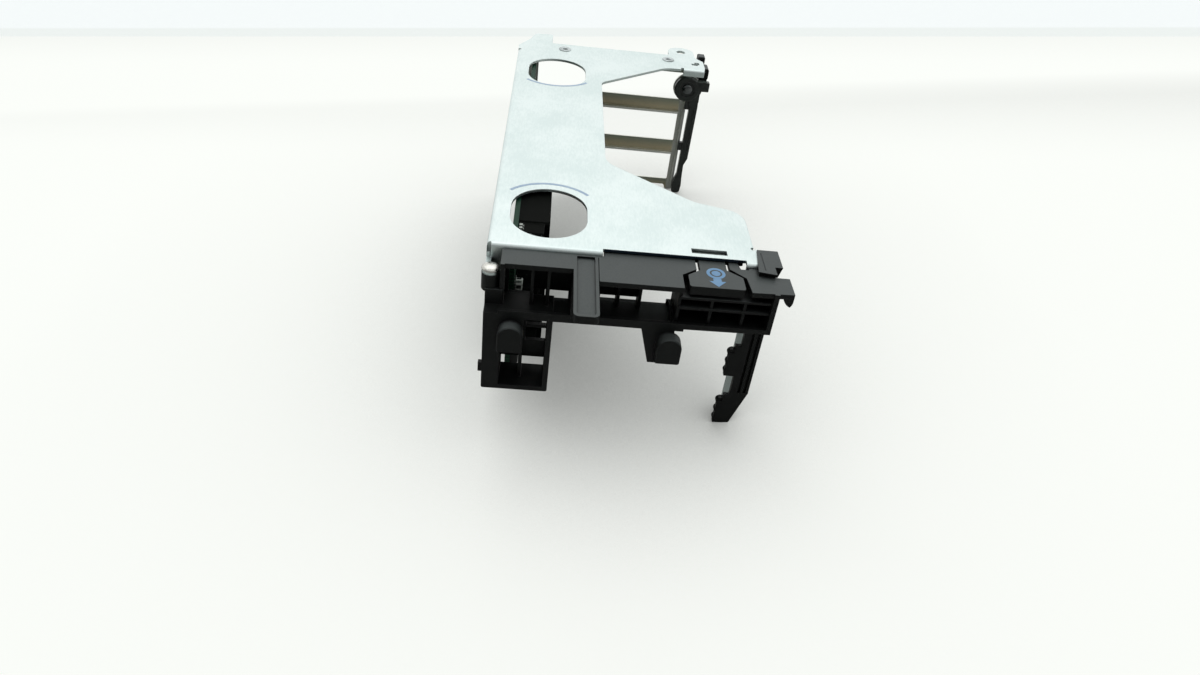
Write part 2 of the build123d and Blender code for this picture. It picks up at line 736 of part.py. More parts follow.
def leg_box():
    """The open-fronted box that hangs from the carrier's left end."""
    wall = 1.6
    inner_right = LEG_BOX_RIGHT - wall
    frame = block(LEG_BOX_LEFT, LEG_BOX_RIGHT, CARRIER_FACE, LEG_BOX_REAR, LEG_BOX_BOTTOM, LEDGE)
    frame = fillet(frame.edges().filter_by(Axis.Y).group_by(Axis.Z)[0], 0.6)
    low = LEG_BOX_BOTTOM + wall
    high = CARRIER_BOTTOM + 1.0
    hollow = block(COLUMN_RIGHT, inner_right, CARRIER_FACE - 1, LEG_BOX_REAR - wall, low, high)
    box = frame - hollow
    upper = block(
        LEG_BOX_LEFT, COLUMN_RIGHT, CARRIER_FACE + COLUMN_SETBACK, 0, LEDGE - 1.0, COLUMN_TOP
    )
    channel = block(COLUMN_RIGHT - 3.8, COLUMN_RIGHT - 1.0, -9.6, 1, low, -19.0)
    rib = block(11.2, 12.3, -9.0, LEG_BOX_REAR - wall, low, -26.0)
    return box + upper - channel + rib


def carrier_ribs():
    """Thin uprights across the channel, and the two shelves under the latch."""
    ribs = []
    high = CARRIER_TOP - 0.2
    for x in (13.9, 18.6):
        ribs.append(block(x - RIB / 2, x + RIB / 2, -8.0, back_face, floor_top, high))
    for x in (39.35, 45.75):
        ribs.append(block(x - RIB / 2, x + RIB / 2, -5.0, back_face, floor_top, high))
    ribs.append(block(beam_end - RIB, beam_end, -11.6, back_face, floor_top, high))
    for x in (65.7, 75.4):
        ribs.append(block(x - RIB / 2, x + RIB / 2, -12.0, back_face, floor_top, SHELF_TOP - 0.2))
    shelf_left = beam_end - 0.4
    shelf_right = CARRIER_RIGHT - 0.6
    for i in range(2):
        top = SHELF_TOP - SHELF_STEP * i
        ribs.append(block(shelf_left, shelf_right, CARRIER_FACE + 1.0, back_face, top - SHELF, top))
    return ribs


def carrier_windows():
    """Slots through the beam's back wall and through the leg box."""
    leg_back = LEG_BOX_REAR - 1.6
    front = back_face - 0.6
    deep = CARRIER_BOTTOM - 0.1
    groove = CARRIER_BOTTOM + 0.4
    sill = floor_top - 0.2
    cuts = [
        block(14.4, 18.0, LEG_BOX_REAR, 1, deep, -13.7),
        block(19.1, 24.8, LEG_BOX_REAR, 1, deep, -13.7),
        block(34.3, 38.9, front, 1, sill, -13.9),
        block(39.8, 45.3, front, 1, sill, -13.9),
        block(46.2, 54.4, front, 1, groove, -10.7),
        block(54.3, 55.8, front, 1, -14.4, -10.7),
        block(BOARD_LEFT + 0.2, 13.4, front, 1, floor_top, CARRIER_TOP - FLANGE),
        block(5.8, 11.2, leg_back - 1, 1, -41.4, -37.1),
        block(12.3, 19.0, leg_back - 1, 1, -41.4, -37.1),
        block(12.9, 19.0, leg_back - 1, 1, -25.0, -22.9),
        block(12.9, 19.0, leg_back - 1, 1, -30.9, -25.9),
    ]
    return cuts


def make_carrier():
    """The one-piece front moulding: beam, leg box, pegs, pull, prong and hook."""
    low = CARRIER_TOP - FLANGE
    body = across(channel_section(), COLUMN_RIGHT - 1.0, CARRIER_RIGHT)
    body += block(COLUMN_RIGHT - 1.0, COLUMN_RIGHT + 0.2, -8.6, 0, LEDGE, CARRIER_TOP)
    body += block(BLOCK_LEFT, PULL_LEFT + 0.2, BLOCK_FACE, back_face, low, CARRIER_TOP)
    body += block(CARRIER_RIGHT - 1.5, CARRIER_RIGHT, CARRIER_FACE, 0, CARRIER_BOTTOM, CARRIER_TOP)
    right_floor = CARRIER_RIGHT_BOTTOM + FLOOR
    body += block(PEG_RIGHT_X, CARRIER_RIGHT, CARRIER_FACE, 0, CARRIER_BOTTOM, right_floor)
    open_top = block(beam_end - 0.5, LEG_OUTER - 0.4, back_face - 0.6, 1, -4.6, 0)
    body -= open_top
    body += up(beam_top(), low, CARRIER_TOP)
    body += up(right_top(), low, CARRIER_TOP)
    rear_bar = block(
        LATCH_STEM_LEFT - LATCH_GAP - 2, SHORT_LIP_START - 0.7, LATCH_REAR + 0.9, BEAM_REAR, -3.6, CARRIER_TOP
    )
    locator = block(
        LOCATOR_LEFT + LOCATOR_CLEARANCE, LOCATOR_RIGHT - LOCATOR_CLEARANCE,
        LOCATOR_FRONT + LOCATOR_CLEARANCE + 0.2, LOCATOR_REAR - LOCATOR_CLEARANCE,
        CARRIER_TOP - 0.5, CARRIER_TOP + 0.3,
    )
    body += rear_bar + locator + prong()
    body += back(hook_outline(), CARRIER_FACE + 0.8, HOOK_REAR)
    body += finger_pull() + leg_box()
    for rib in carrier_ribs():
        body += rib
    body += peg(PEG_LEFT_X, CARRIER_FACE + 1.6) + block(
        PEG_LEFT_X - PEG_WIDTH / 2, PEG_LEFT_X + PEG_WIDTH / 2, CARRIER_FACE, CARRIER_FACE + 1.6,
        PEG_BOTTOM - 2.6, LEDGE - 1.4,
    )
    side = PEG_RIGHT_X + PEG_WIDTH / 2 - 0.1
    web = outline(
        (PEG_RIGHT_X - 8.7, CARRIER_BOTTOM + 0.6),
        (PEG_RIGHT_X + 1.3, CARRIER_BOTTOM + 0.6),
        (PEG_RIGHT_X + 1.3, PEG_TOP - 1.5),
        (side, PEG_TOP - PEG_WIDTH / 2),
        (side, PEG_BOTTOM - 2.6),
        (PEG_RIGHT_X - 5.2, PEG_BOTTOM - 2.6),
    )
    body += peg(PEG_RIGHT_X, CARRIER_FACE + 2.0) + back(web, CARRIER_FACE, CARRIER_FACE + 2.0)
    body += post_z(BOSS_X, BOSS_Y, BOSS_RADIUS, BOSS_BOTTOM, BOSS_TOP)
    body += block(LEG_BOX_LEFT - 1.2, LEG_BOX_LEFT + 0.5, -12.0, -10.4, -37.8, -34.6)
    body -= post_z(BOSS_X, BOSS_Y, SCREW_RADIUS, BOSS_BOTTOM + 1.5, BOSS_TOP + 1)
    for cut in carrier_windows():
        body -= cut
    taper = outline(
        (PEG_RIGHT_X + 3.8, CARRIER_BOTTOM - 1),
        (CARRIER_RIGHT + 1, CARRIER_BOTTOM - 1),
        (CARRIER_RIGHT + 1, CARRIER_RIGHT_BOTTOM),
        (PEG_RIGHT_X + 3.8, CARRIER_RIGHT_BOTTOM - 0.3),
    )
    return body - back(taper, CARRIER_FACE - 1, 1)


def make_carrier_screw():
    """The pan-headed screw in the carrier's boss."""
    seat = BOSS_TOP + SHEET
    shank = post_z(BOSS_X, BOSS_Y, SCREW_RADIUS, BOSS_BOTTOM + 2.0, seat)
    head = post_z(BOSS_X, BOSS_Y, CARRIER_SCREW_HEAD_RADIUS, seat, seat + CARRIER_SCREW_HEAD)
    head = chamfer(head.edges().group_by(Axis.Z)[-1], 0.5)
    return shank + head


def make_latch():
    """The sliding release tab: stem, shoulders, thumb face and two runners."""
    face = rounded(
        [
            (LATCH_STEM_LEFT, LATCH_REAR),
            (LATCH_STEM_LEFT, LATCH_SHOULDER),
            (LATCH_LEFT, LATCH_SHOULDER - 3.0),
            (LATCH_LEFT, LATCH_FACE),
            (LATCH_RIGHT, LATCH_FACE),
            (LATCH_RIGHT, LATCH_SHOULDER - 2.6),
            (LATCH_STEM_RIGHT, LATCH_SHOULDER + 0.9),
            (LATCH_STEM_RIGHT, LATCH_REAR),
        ],
        [0.6, 0.6, 0.6, 0.8, 0.8, 0.6, 0.6, 0.6],
    )
    low = CARRIER_TOP - LATCH_THICKNESS
    tab = up(face, low, CARRIER_TOP)
    lip = block(
        LATCH_LEFT + 0.2, LATCH_RIGHT - 0.2, LATCH_FACE, LATCH_FACE + 1.4, CARRIER_TOP - LATCH_LIP, low + 0.1
    )
    tab += lip
    for x in (LATCH_STEM_LEFT + 0.6, LATCH_STEM_RIGHT - 1.8):
        tab += block(x, x + 1.2, LATCH_FACE + 1.0, back_face - 0.8, SHELF_TOP, low + 0.1)
    return tab


def make_guide():
    """The card guide: a grooved spine on the leg and one lobed block a slot."""
    top = CARRIER_RIGHT_BOTTOM - 0.4
    spine = outline(
        (LEG_OUTER, top),
        (guide_outer, top),
        (guide_outer, GUIDE_BOTTOM + GUIDE_CHAMFER_Z),
        (LEG_OUTER + GUIDE_TOE, GUIDE_BOTTOM),
        (LEG_OUTER, GUIDE_BOTTOM),
    )
    body = back(spine, GUIDE_FACE, GUIDE_REAR)
    for share in (0.26, 0.64):
        x = LEG_OUTER + GUIDE_WIDTH * share
        body -= block(
            x, x + GUIDE_GROOVE, GUIDE_FACE - 1, GUIDE_FACE + 1.2, GUIDE_BOTTOM + GUIDE_CHAMFER_Z, top + 1
        )
    body += block(leg_inner, LEG_OUTER + 0.2, GUIDE_FACE, LEG_FRONT, GUIDE_BOTTOM, top)
    tall = SLOT_PITCH - GUIDE_GAP
    for i in range(1, SLOT_COUNT):
        bottom = GUIDE_BOTTOM + SLOT_PITCH * (SLOT_COUNT - 1 - i)
        first = bottom + LOBE_RADIUS + 0.1
        last = first + LOBE_PITCH * (LOBES - 1)
        lobed = block(GUIDE_LEFT + 0.3, leg_inner + 0.1, GUIDE_FACE, LEG_FRONT, bottom, last + 0.4)
        for j in range(LOBES):
            level = first + LOBE_PITCH * j
            lobed += post_y(GUIDE_LEFT + LOBE_RADIUS, level, LOBE_RADIUS, GUIDE_FACE + 0.4, LOBE_REAR)
        body += lobed
        body += block(GUIDE_LEFT + 2.0, leg_inner + 0.1, GUIDE_FACE, LEG_FRONT, bottom, bottom + tall)
    return body


def make_retainer():
    """The swinging retainer: hub, thumb tab, long arm and a pad for each slot."""
    hub = post_y(HINGE_X, HINGE_Z, HUB_RADIUS, HUB_FRONT, RETAINER_REAR)
    hub = chamfer(hub.edges().group_by(Axis.Y)[0], 0.5)
    dish = post_y(HINGE_X, HINGE_Z, PIN_HEAD_RADIUS + 1.2, HUB_FRONT - 1, HUB_FRONT + 0.5)
    arm = rounded(
        [
            (HINGE_X + 0.6, HINGE_Z - 2.0),
            (ARM_RIGHT - 0.2, HINGE_Z - 1.0),
            (ARM_RIGHT + 0.2, HINGE_Z - 8.0),
            (ARM_RIGHT - 0.2, -46.0),
            (ARM_RIGHT - 1.6, -49.5),
            (ARM_RIGHT - 1.4, -56.0),
            (ARM_RIGHT - 1.1, -60.0),
            (ARM_RIGHT - 1.5, ARM_BOTTOM),
            (ARM_LEFT - FOOT_REACH + 0.1, ARM_BOTTOM),
            (ARM_LEFT - FOOT_REACH, -59.5),
            (ARM_LEFT - 0.4, -54.5),
            (ARM_LEFT + 0.1, HINGE_Z - 7.6),
        ],
        [0, 0, 0, 0, 0, 0, 0, 1.4, 1.4, 0, 0, 0],
    )
    heel = block(
        HINGE_X + 1.0, ARM_RIGHT + 0.2, ARM_FACE, RETAINER_REAR, HINGE_Z - HUB_RADIUS, HINGE_Z
    )
    body = hub + heel + back(arm, ARM_FACE, RETAINER_REAR) - dish
    rib = block(ARM_RIGHT - 1.3, ARM_RIGHT - 0.6, ARM_FACE - 0.5, ARM_FACE + 0.2, -44.0, HINGE_Z - 9.0)
    body += rib
    thumb = rounded(
        [
            (HINGE_X + 3.0, THUMB_BOTTOM),
            (THUMB_RIGHT, THUMB_BOTTOM),
            (THUMB_RIGHT, THUMB_TOP),
            (HINGE_X + 3.0, THUMB_TOP),
        ],
        [0, 0.4, 0.4, 0],
    )
    body += back(thumb, HUB_FRONT, RETAINER_REAR)
    for top in bar_tops[:-1]:
        level = top - 0.6
        body += block(
            ARM_LEFT - PAD_REACH, ARM_LEFT + 0.6, ARM_FACE + 0.6, RETAINER_REAR - 0.2,
            level - PAD_HEIGHT / 2, level + PAD_HEIGHT / 2,
        )
    body -= post_y(HINGE_X, HINGE_Z, PIN_RADIUS + PIN_CLEARANCE, HUB_FRONT - 1, RETAINER_REAR + 1)
    return body


def make_hinge_pin():
    """The headed pin on which the retainer swings, set in the bracket's ear."""
    seat = HUB_FRONT + 0.5 - 0.1
    ear_back = EAR_PLATE_FRONT + SHEET
    shank = post_y(HINGE_X, HINGE_Z, PIN_RADIUS, seat, ear_back)
    head = post_y(HINGE_X, HINGE_Z, PIN_HEAD_RADIUS, seat - PIN_HEAD, seat)
    head = chamfer(head.edges().group_by(Axis.Y)[0], 0.5)
    swaged = post_y(HINGE_X, HINGE_Z, PIN_RADIUS + 0.6, ear_back, ear_back + 0.6)
    return shank + head + swaged


def make_stop_block():
    """The moulded block behind the bracket's ear, with its upright post."""
    near = BRACKET_FACE
    far = BRACKET_FACE + 6.0
    face = rounded(
        [
            (HINGE_X - 1.2, -17.0),
            (ARM_RIGHT + 1.4, -17.0),
            (ARM_RIGHT + 3.6, -8.4),
            (ARM_RIGHT + 3.6, -4.4),
            (HINGE_X + 3.6, -4.4),
            (HINGE_X - 1.2, -7.4),
        ],
        [1, 1, 1, 1, 0, 0],
    )
    body = back(face, near, far)
    post = block(HINGE_X + 3.8, HINGE_X + 7.0, far - 4.4, far, -6.0, 0.3)
    return body + chamfer(post.edges().group_by(Axis.Z)[-1], 0.4)


nodes = {
    "top_plate": make_top_plate(),
    "rear_bracket": make_rear_bracket(),
    "bracket_rivets": make_rivets(),
    "front_carrier": make_carrier(),
    "carrier_screw": make_carrier_screw(),
    "release_latch": make_latch(),
    "card_guide": make_guide(),
    "slot_retainer": make_retainer(),
    "retainer_pin": make_hinge_pin(),
    "retainer_stop": make_stop_block(),
    "riser_board": make_board(),
    "board_standoffs": make_standoffs(),
    "board_screws": make_board_screws(),
    "can_capacitor": make_can_capacitor(),
    "block_capacitors": make_chip_capacitors(),
    "buffer_chip": make_buffer_chip(),
}
for name, level in zip(("upper", "middle", "lower"), card_levels):
    nodes["slot_connector_" + name] = make_connector(level)


def as_list(part):
    return list(part) if isinstance(part, list) else [part]


whole = Compound(children=[s.solids()[0] for p in nodes.values() for s in as_list(p)]).bounding_box()
home = Pos(-(whole.min.X + whole.max.X) / 2, -(whole.min.Y + whole.max.Y) / 2, -whole.min.Z)
print("origin moved by", [round(v, 3) for v in home.position])

os.makedirs("parts", exist_ok=True)
for name, part in nodes.items():
    solids = [home * solid for piece in as_list(part) for solid in piece.solids()]
    shape = solids[0] if len(solids) == 1 else Compound(children=solids)
    export_step(shape, os.path.join("parts", name + ".step"))
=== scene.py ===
import math

import bmesh
import bpy
from mathutils import Matrix, Vector


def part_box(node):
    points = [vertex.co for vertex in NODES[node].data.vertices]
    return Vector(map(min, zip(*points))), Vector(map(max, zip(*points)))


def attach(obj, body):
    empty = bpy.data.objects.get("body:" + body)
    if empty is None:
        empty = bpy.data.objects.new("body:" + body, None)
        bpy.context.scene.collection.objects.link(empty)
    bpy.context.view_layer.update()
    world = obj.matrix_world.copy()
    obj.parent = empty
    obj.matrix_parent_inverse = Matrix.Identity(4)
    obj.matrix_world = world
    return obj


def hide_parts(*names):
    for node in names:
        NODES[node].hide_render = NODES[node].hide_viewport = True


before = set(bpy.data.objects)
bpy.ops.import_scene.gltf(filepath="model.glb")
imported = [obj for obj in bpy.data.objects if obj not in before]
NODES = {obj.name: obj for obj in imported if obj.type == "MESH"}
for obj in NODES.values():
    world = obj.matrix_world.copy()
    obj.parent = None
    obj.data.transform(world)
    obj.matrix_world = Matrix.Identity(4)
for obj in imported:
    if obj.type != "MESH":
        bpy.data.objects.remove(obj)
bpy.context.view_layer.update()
MM = 0.001

# The construction frame starts at the plate's front left corner, on its top face:
# X runs right, Y to the rear bracket, Z up. The riser board's lowest corner places it.
BOARD_CORNER = Vector((6.7, 3.0, -72.9))
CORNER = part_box("riser_board")[0] - BOARD_CORNER * MM


def at(x, y, z):
    """A point of the construction frame, given in millimetres."""
    return CORNER + Vector((x, y, z)) * MM


# Camera, worked out from the plate's edges and the slot pitch.
FOCAL_PX = 879.4731
FRAME_PX = (1200, 675)
YAW, PITCH, ROLL = -0.097936, 0.645043, -0.133466
EYE = (14.6455, -218.1499, 134.0327)
SENSOR_WIDTH = 36.0
NEAREST, FARTHEST = 0.01, 20.0


def camera_axes():
    """The picture's right, its down and the view's direction."""
    ahead = Vector((
        -math.sin(YAW) * math.cos(PITCH),
        math.cos(YAW) * math.cos(PITCH),
        -math.sin(PITCH),
    ))
    level = Vector((math.cos(YAW), math.sin(YAW), 0.0))
    below = ahead.cross(level)
    right = math.cos(ROLL) * level + math.sin(ROLL) * below
    down = -math.sin(ROLL) * level + math.cos(ROLL) * below
    return right, down, ahead


RIGHT, DOWN, AHEAD = camera_axes()


def build_camera():
    lens = bpy.data.cameras.new("camera")
    lens.sensor_fit = "HORIZONTAL"
    lens.sensor_width = SENSOR_WIDTH
    lens.lens = FOCAL_PX / FRAME_PX[0] * lens.sensor_width
    lens.clip_start = NEAREST
    lens.clip_end = FARTHEST
    holder = bpy.data.objects.new("camera", lens)
    bpy.context.scene.collection.objects.link(holder)
    turn = Matrix((RIGHT, -DOWN, -AHEAD)).transposed()
    holder.matrix_world = Matrix.Translation(at(*EYE)) @ turn.to_4x4()
    bpy.context.scene.camera = holder


# Floor: the cage leans on its plug edge, its guide and its bracket foot.
REST_POINTS = ((7.5, 44.0, -72.9), (80.0, -0.6, -62.4), (76.4, 172.0, -65.34))
FLOOR_GAP = 0.02 * MM
WALL_PIXEL_ROW = 35.5

# The stage's sizes in metres.
FLOOR_REACH = 4.0
WALL_HEIGHT = 2.5
SEAM_FORWARD = 0.002
SEAM_HEIGHT = 0.006


def floor_frame():
    """Origin, right, away and up of the floor, and how far back its edge lies.

    The edge between floor and wall runs level in the picture."""
    a, b, c = (at(*p) for p in REST_POINTS)
    up = (b - a).cross(c - a).normalized()
    if up.z < 0:
        up = -up
    origin = a - up * FLOOR_GAP
    ray = AHEAD * FOCAL_PX + DOWN * (WALL_PIXEL_ROW - FRAME_PX[1] / 2)
    right = RIGHT.cross(ray).cross(up).normalized()
    if right.dot(RIGHT) < 0:
        right = -right
    away = up.cross(right)
    eye = at(*EYE)
    reach = (origin - eye).dot(up) / ray.dot(up)
    edge = (eye + ray * reach - origin).dot(away)
    return origin, right, away, up, edge


ORIGIN, FLOOR_RIGHT, FLOOR_AWAY, FLOOR_UP, FLOOR_EDGE = floor_frame()


def mesh_object(name, build, body=None, finish=None, smooth=False):
    """Runs build(bm) on an empty mesh and links the result.

    A body makes it a piece of the object."""
    data = bpy.data.meshes.new(name)
    bm = bmesh.new()
    build(bm)
    bmesh.ops.recalc_face_normals(bm, faces=bm.faces)
    bm.to_mesh(data)
    bm.free()
    if smooth:
        data.shade_smooth()
    thing = bpy.data.objects.new(name, data)
    bpy.context.scene.collection.objects.link(thing)
    if finish:
        data.materials.append(finish)
    if body:
        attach(thing, body)
    return thing


def build_floor(floor_paint, wall_paint, seam_paint):
    """The floor, the wall behind it, and a pale strip of painted shade, a little darker than the
    wall, where they meet.
    """
    side = FLOOR_RIGHT * FLOOR_REACH
    reach = FLOOR_AWAY * FLOOR_REACH
    far = ORIGIN + FLOOR_AWAY * FLOOR_EDGE

    def quad(bm, corners):
        bm.faces.new([bm.verts.new(c) for c in corners])

    def upright(bm, foot, height):
        rise = FLOOR_UP * height
        quad(bm, [foot - side, foot + side, foot + side + rise, foot - side + rise])

    def ground(bm):
        quad(bm, [ORIGIN - side - reach, ORIGIN + side - reach, far + side, far - side])

    def wall(bm):
        upright(bm, far, WALL_HEIGHT)

    def seam(bm):
        upright(bm, far - FLOOR_AWAY * SEAM_FORWARD, SEAM_HEIGHT)

    mesh_object("floor", ground, finish=floor_paint)
    mesh_object("back_wall", wall, finish=wall_paint)
    mesh_object("wall_foot", seam, finish=seam_paint)


class Nodes:
    """Adds nodes to one tree and joins them.

    Lengths in a material are metres, unless a name says otherwise."""

    def __init__(self, tree):
        self.tree = tree

    def add(self, kind, settings=None, **sockets):
        """A new node. A socket's name has _ where Blender's has a space."""
        node = self.tree.nodes.new(kind)
        for key, value in (settings or {}).items():
            setattr(node, key, value)
        for key, value in sockets.items():
            self.feed(node, key.replace("_", " "), value)
        return node

    def feed(self, node, socket, value):
        """Links or sets a socket, which is given by its name or number."""
        target = node.inputs[int(socket) if socket.isdigit() else socket]
        if isinstance(value, bpy.types.NodeSocket):
            self.tree.links.new(value, target)
        else:
            target.default_value = value

    def math(self, operation, a, b):
        node = self.add("ShaderNodeMath", {"operation": operation})
        self.feed(node, "0", a)
        self.feed(node, "1", b)
        return node.outputs[0]

    def product(self, first, *others):
        for other in others:
            first = self.math("MULTIPLY", first, other)
        return first

    def ramp(self, value, low, high, to_low=0.0, to_high=1.0):
        """Goes from to_low to to_high while value goes from low to high."""
        node = self.add("ShaderNodeMapRange", {"clamp": True}, Value=value, From_Min=low,
                        From_Max=high, To_Min=to_low, To_Max=to_high)
        return node.outputs["Result"]

    def fade(self, where, axis, span, to_low=0.0, to_high=1.0):
        """A ramp between two places on an axis, in construction millimetres."""
        index = "XYZ".index(axis)
        low, high = (at(*(mm if i == index else 0 for i in range(3)))[index] for mm in span)
        return self.ramp(where[axis], low, high, to_low, to_high)

    def blend(self, share, first, second):
        """The first colour where share is 0, the second where it is 1."""
        node = self.add("ShaderNodeMix", {"data_type": "RGBA"})
        for index, value in ((0, share), (6, first), (7, second)):
            self.feed(node, str(index), value)
        return node.outputs[2]

    def place(self):
        return self.add("ShaderNodeTexCoord").outputs["Object"]

    def normal(self):
        return self.add("ShaderNodeNewGeometry").outputs["Normal"]

    def split(self, vector):
        return self.add("ShaderNodeSeparateXYZ", Vector=vector).outputs

    def noise(self, where, scale, detail, roughness=0.5):
        node = self.add("ShaderNodeTexNoise", Vector=where, Scale=scale, Detail=detail,
                        Roughness=roughness)
        return node.outputs[0]

    def openness(self, distance, samples=6, **more):
        """The share of directions in which nothing stands within the distance."""
        node = self.add("ShaderNodeAmbientOcclusion", {"samples": samples}, Distance=distance, **more)
        return node.outputs["AO"]

    def bumped(self, height, strength, distance, normal=None):
        node = self.add("ShaderNodeBump", Height=height, Strength=strength, Distance=distance)
        if normal is not None:
            self.feed(node, "Normal", normal)
        return node.outputs[0]

    def use(self, group, **values):
        """The outputs of a node group that is given its input values."""
        return self.add("ShaderNodeGroup", {"node_tree": group}, **values).outputs


FLOAT = "NodeSocketFloat"
VECTOR = "NodeSocketVector"


def new_group(name, inputs, outputs):
    """An empty node group, its Nodes, its inputs and the node that takes its outputs."""
    tree = bpy.data.node_groups.new(name, "ShaderNodeTree")
    for label, value in inputs.items():
        socket = tree.interface.new_socket(name=label, in_out="INPUT", socket_type=FLOAT)
        socket.default_value = value
    for label, kind in outputs.items():
        tree.interface.new_socket(name=label, in_out="OUTPUT", socket_type=kind)
    entry = tree.nodes.new("NodeGroupInput")
    leave = tree.nodes.new("NodeGroupOutput")
    return tree, Nodes(tree), entry.outputs, leave


def rolled_grain_group():
    """Fine rolling lines along Y with slow cloudy patches, as zinc coated sheet has."""
    tree, n, given, leave = new_group(
        "rolled_grain",
        {"Line Scale": 1500.0, "Stretch": 0.25, "Patch Scale": 60.0},
        {"Lines": FLOAT, "Patches": FLOAT, "Specks": FLOAT},
    )
    specks_per_patch = 9.0
    where = n.place()
    parts = n.split(where)
    drawn_out = n.math("MULTIPLY", parts["Y"], given["Stretch"])
    joined = n.add("ShaderNodeCombineXYZ", X=parts["X"], Y=drawn_out, Z=parts["Z"]).outputs[0]
    speck_scale = n.math("MULTIPLY", given["Patch Scale"], specks_per_patch)
    specks = n.add("ShaderNodeTexVoronoi", {"feature": "F1"}, Vector=where, Scale=speck_scale)
    n.feed(leave, "Lines", n.noise(joined, given["Line Scale"], 4.0, 0.65))
    n.feed(leave, "Patches", n.noise(where, given["Patch Scale"], 3.0))
    n.feed(leave, "Specks", n.ramp(specks.outputs["Distance"], 0.02, 0.16, 1.0, 0.0))
    return tree


def worn_edge_group():
    """A mask that is 1 along sharp edges, broken up by noise, and a normal that rounds them. The mask
    carries painted highlights along the edges.
    """
    tree, n, given, leave = new_group(
        "rounded_edge",
        {"Radius": 0.0004, "Break Up": 900.0},
        {"Edge": FLOAT, "Normal": VECTOR},
    )
    rounded = n.add("ShaderNodeBevel", {"samples": 4}, Radius=given["Radius"]).outputs[0]
    likeness = n.add("ShaderNodeVectorMath", {"operation": "DOT_PRODUCT"})
    n.feed(likeness, "0", rounded)
    n.feed(likeness, "1", n.normal())
    edge = n.ramp(likeness.outputs["Value"], 0.80, 0.995, 1.0, 0.0)
    breaks = n.noise(n.place(), given["Break Up"], 2.0)
    n.feed(leave, "Edge", n.product(edge, n.ramp(breaks, 0.35, 0.6)))
    n.feed(leave, "Normal", rounded)
    return tree


def mould_skin_group():
    """Spark-eroded mould texture, with soft cloudy tone."""
    tree, n, given, leave = new_group(
        "mould_skin",
        {"Grain Scale": 6000.0, "Cloud Scale": 120.0},
        {"Grain": FLOAT, "Cloud": FLOAT},
    )
    where = n.place()
    n.feed(leave, "Grain", n.noise(where, given["Grain Scale"], 2.0, 0.6))
    n.feed(leave, "Cloud", n.noise(where, given["Cloud Scale"], 4.0, 0.6))
    return tree


def settled_dust_group():
    """A mask that is 1 on open faces that look up, thinned by noise. It carries dust together with a
    painted sheen of the light from above.
    """
    tree, n, given, leave = new_group(
        "dust_and_sheen",
        {"Shelter": 0.012, "Speck Scale": 2500.0},
        {"Dust": FLOAT},
    )
    level = n.ramp(n.split(n.normal())["Z"], 0.25, 0.9)
    sky = n.ramp(n.openness(given["Shelter"]), 0.28, 0.55)
    specks = n.noise(n.place(), given["Speck Scale"], 3.0, 0.7)
    n.feed(leave, "Dust", n.product(level, sky, n.ramp(specks, 0.3, 0.6, 0.8, 1.0)))
    return tree


def recess_group():
    """A mask that is 1 deep in corners and narrow gaps, where little light comes in."""
    tree, n, given, leave = new_group("recess", {"Reach": 0.003}, {"Recess": FLOAT})
    n.feed(leave, "Recess", n.ramp(n.openness(given["Reach"]), 0.15, 0.75, 1.0, 0.0))
    return tree


ROLLED_GRAIN = rolled_grain_group()
DUST_AND_SHEEN = settled_dust_group()
RECESS = recess_group()
ROUNDED_EDGE = worn_edge_group()
MOULD_SKIN = mould_skin_group()


def new_finish(name, roughness=0.5, metallic=0.0, specular=0.5):
    finish = bpy.data.materials.new(name)
    finish.use_nodes = True
    shader = finish.node_tree.nodes["Principled BSDF"]
    shader.inputs["Roughness"].default_value = roughness
    shader.inputs["Metallic"].default_value = metallic
    shader.inputs["Specular IOR Level"].default_value = specular
    return finish, Nodes(finish.node_tree), shader


# Where some tones change, in construction millimetres: the start and the end of each change.
# The rear bars face the front at BAR_FRONT, and the pegs leave the carrier at PEG_ROOT.
BAR_FRONT = 171.3
BAR_LEFT_SPAN = (8.0, 9.0)
BAR_FACE_SPAN = (BAR_FRONT - 1.2, BAR_FRONT - 0.6)
COLUMN_SPAN = (74.6, 75.4)
CUT_END_LEFT_SPAN = (33.9, 34.3)
CUT_END_RIGHT_SPAN = (75.9, 76.3)
CUT_END_REAR_SPAN = (2.6, 3.2)
PEG_ROOT = -13.4
PEG_SPAN = (PEG_ROOT - 1.0, PEG_ROOT - 0.2)
CARRIER_TOP_SPAN = (-12.5, -10.5)

# The rear bars: the top of the first one, their pitch, and the width of the paler band of painted
# reflection along each top.
FIRST_BAR_TOP = -19.3
SLOT_PITCH = 20.32
BAR_RIM = 4.2

# Painted shade and painted reflection on the rear bars' front faces.
BAR_SHADE = (0.2, 0.18, 0.13, 1)
BAR_RIM_REFLECTION = (0.30, 0.34, 0.28, 1)
# Painted shade on the plate's cut front end.
CUT_END_SHADE = (0.05, 0.075, 0.11, 1)
# Painted shade deep in recesses of the sheet steel.
STEEL_RECESS_SHADE = (0.02, 0.028, 0.036, 1)
# A painted highlight along the mouldings' sharp edges.
MOULD_EDGE_HIGHLIGHT = (0.16, 0.17, 0.17, 1)
# Painted shade deep in recesses of the mouldings.
MOULD_RECESS_SHADE = (0.004, 0.004, 0.004, 1)
COLUMN_METALLIC = 0.15
# How much of the painted highlight shows along the sheet's sharp edges.
EDGE_HIGHLIGHT_SHARE = 0.5
SPECK_SHARE = 0.22


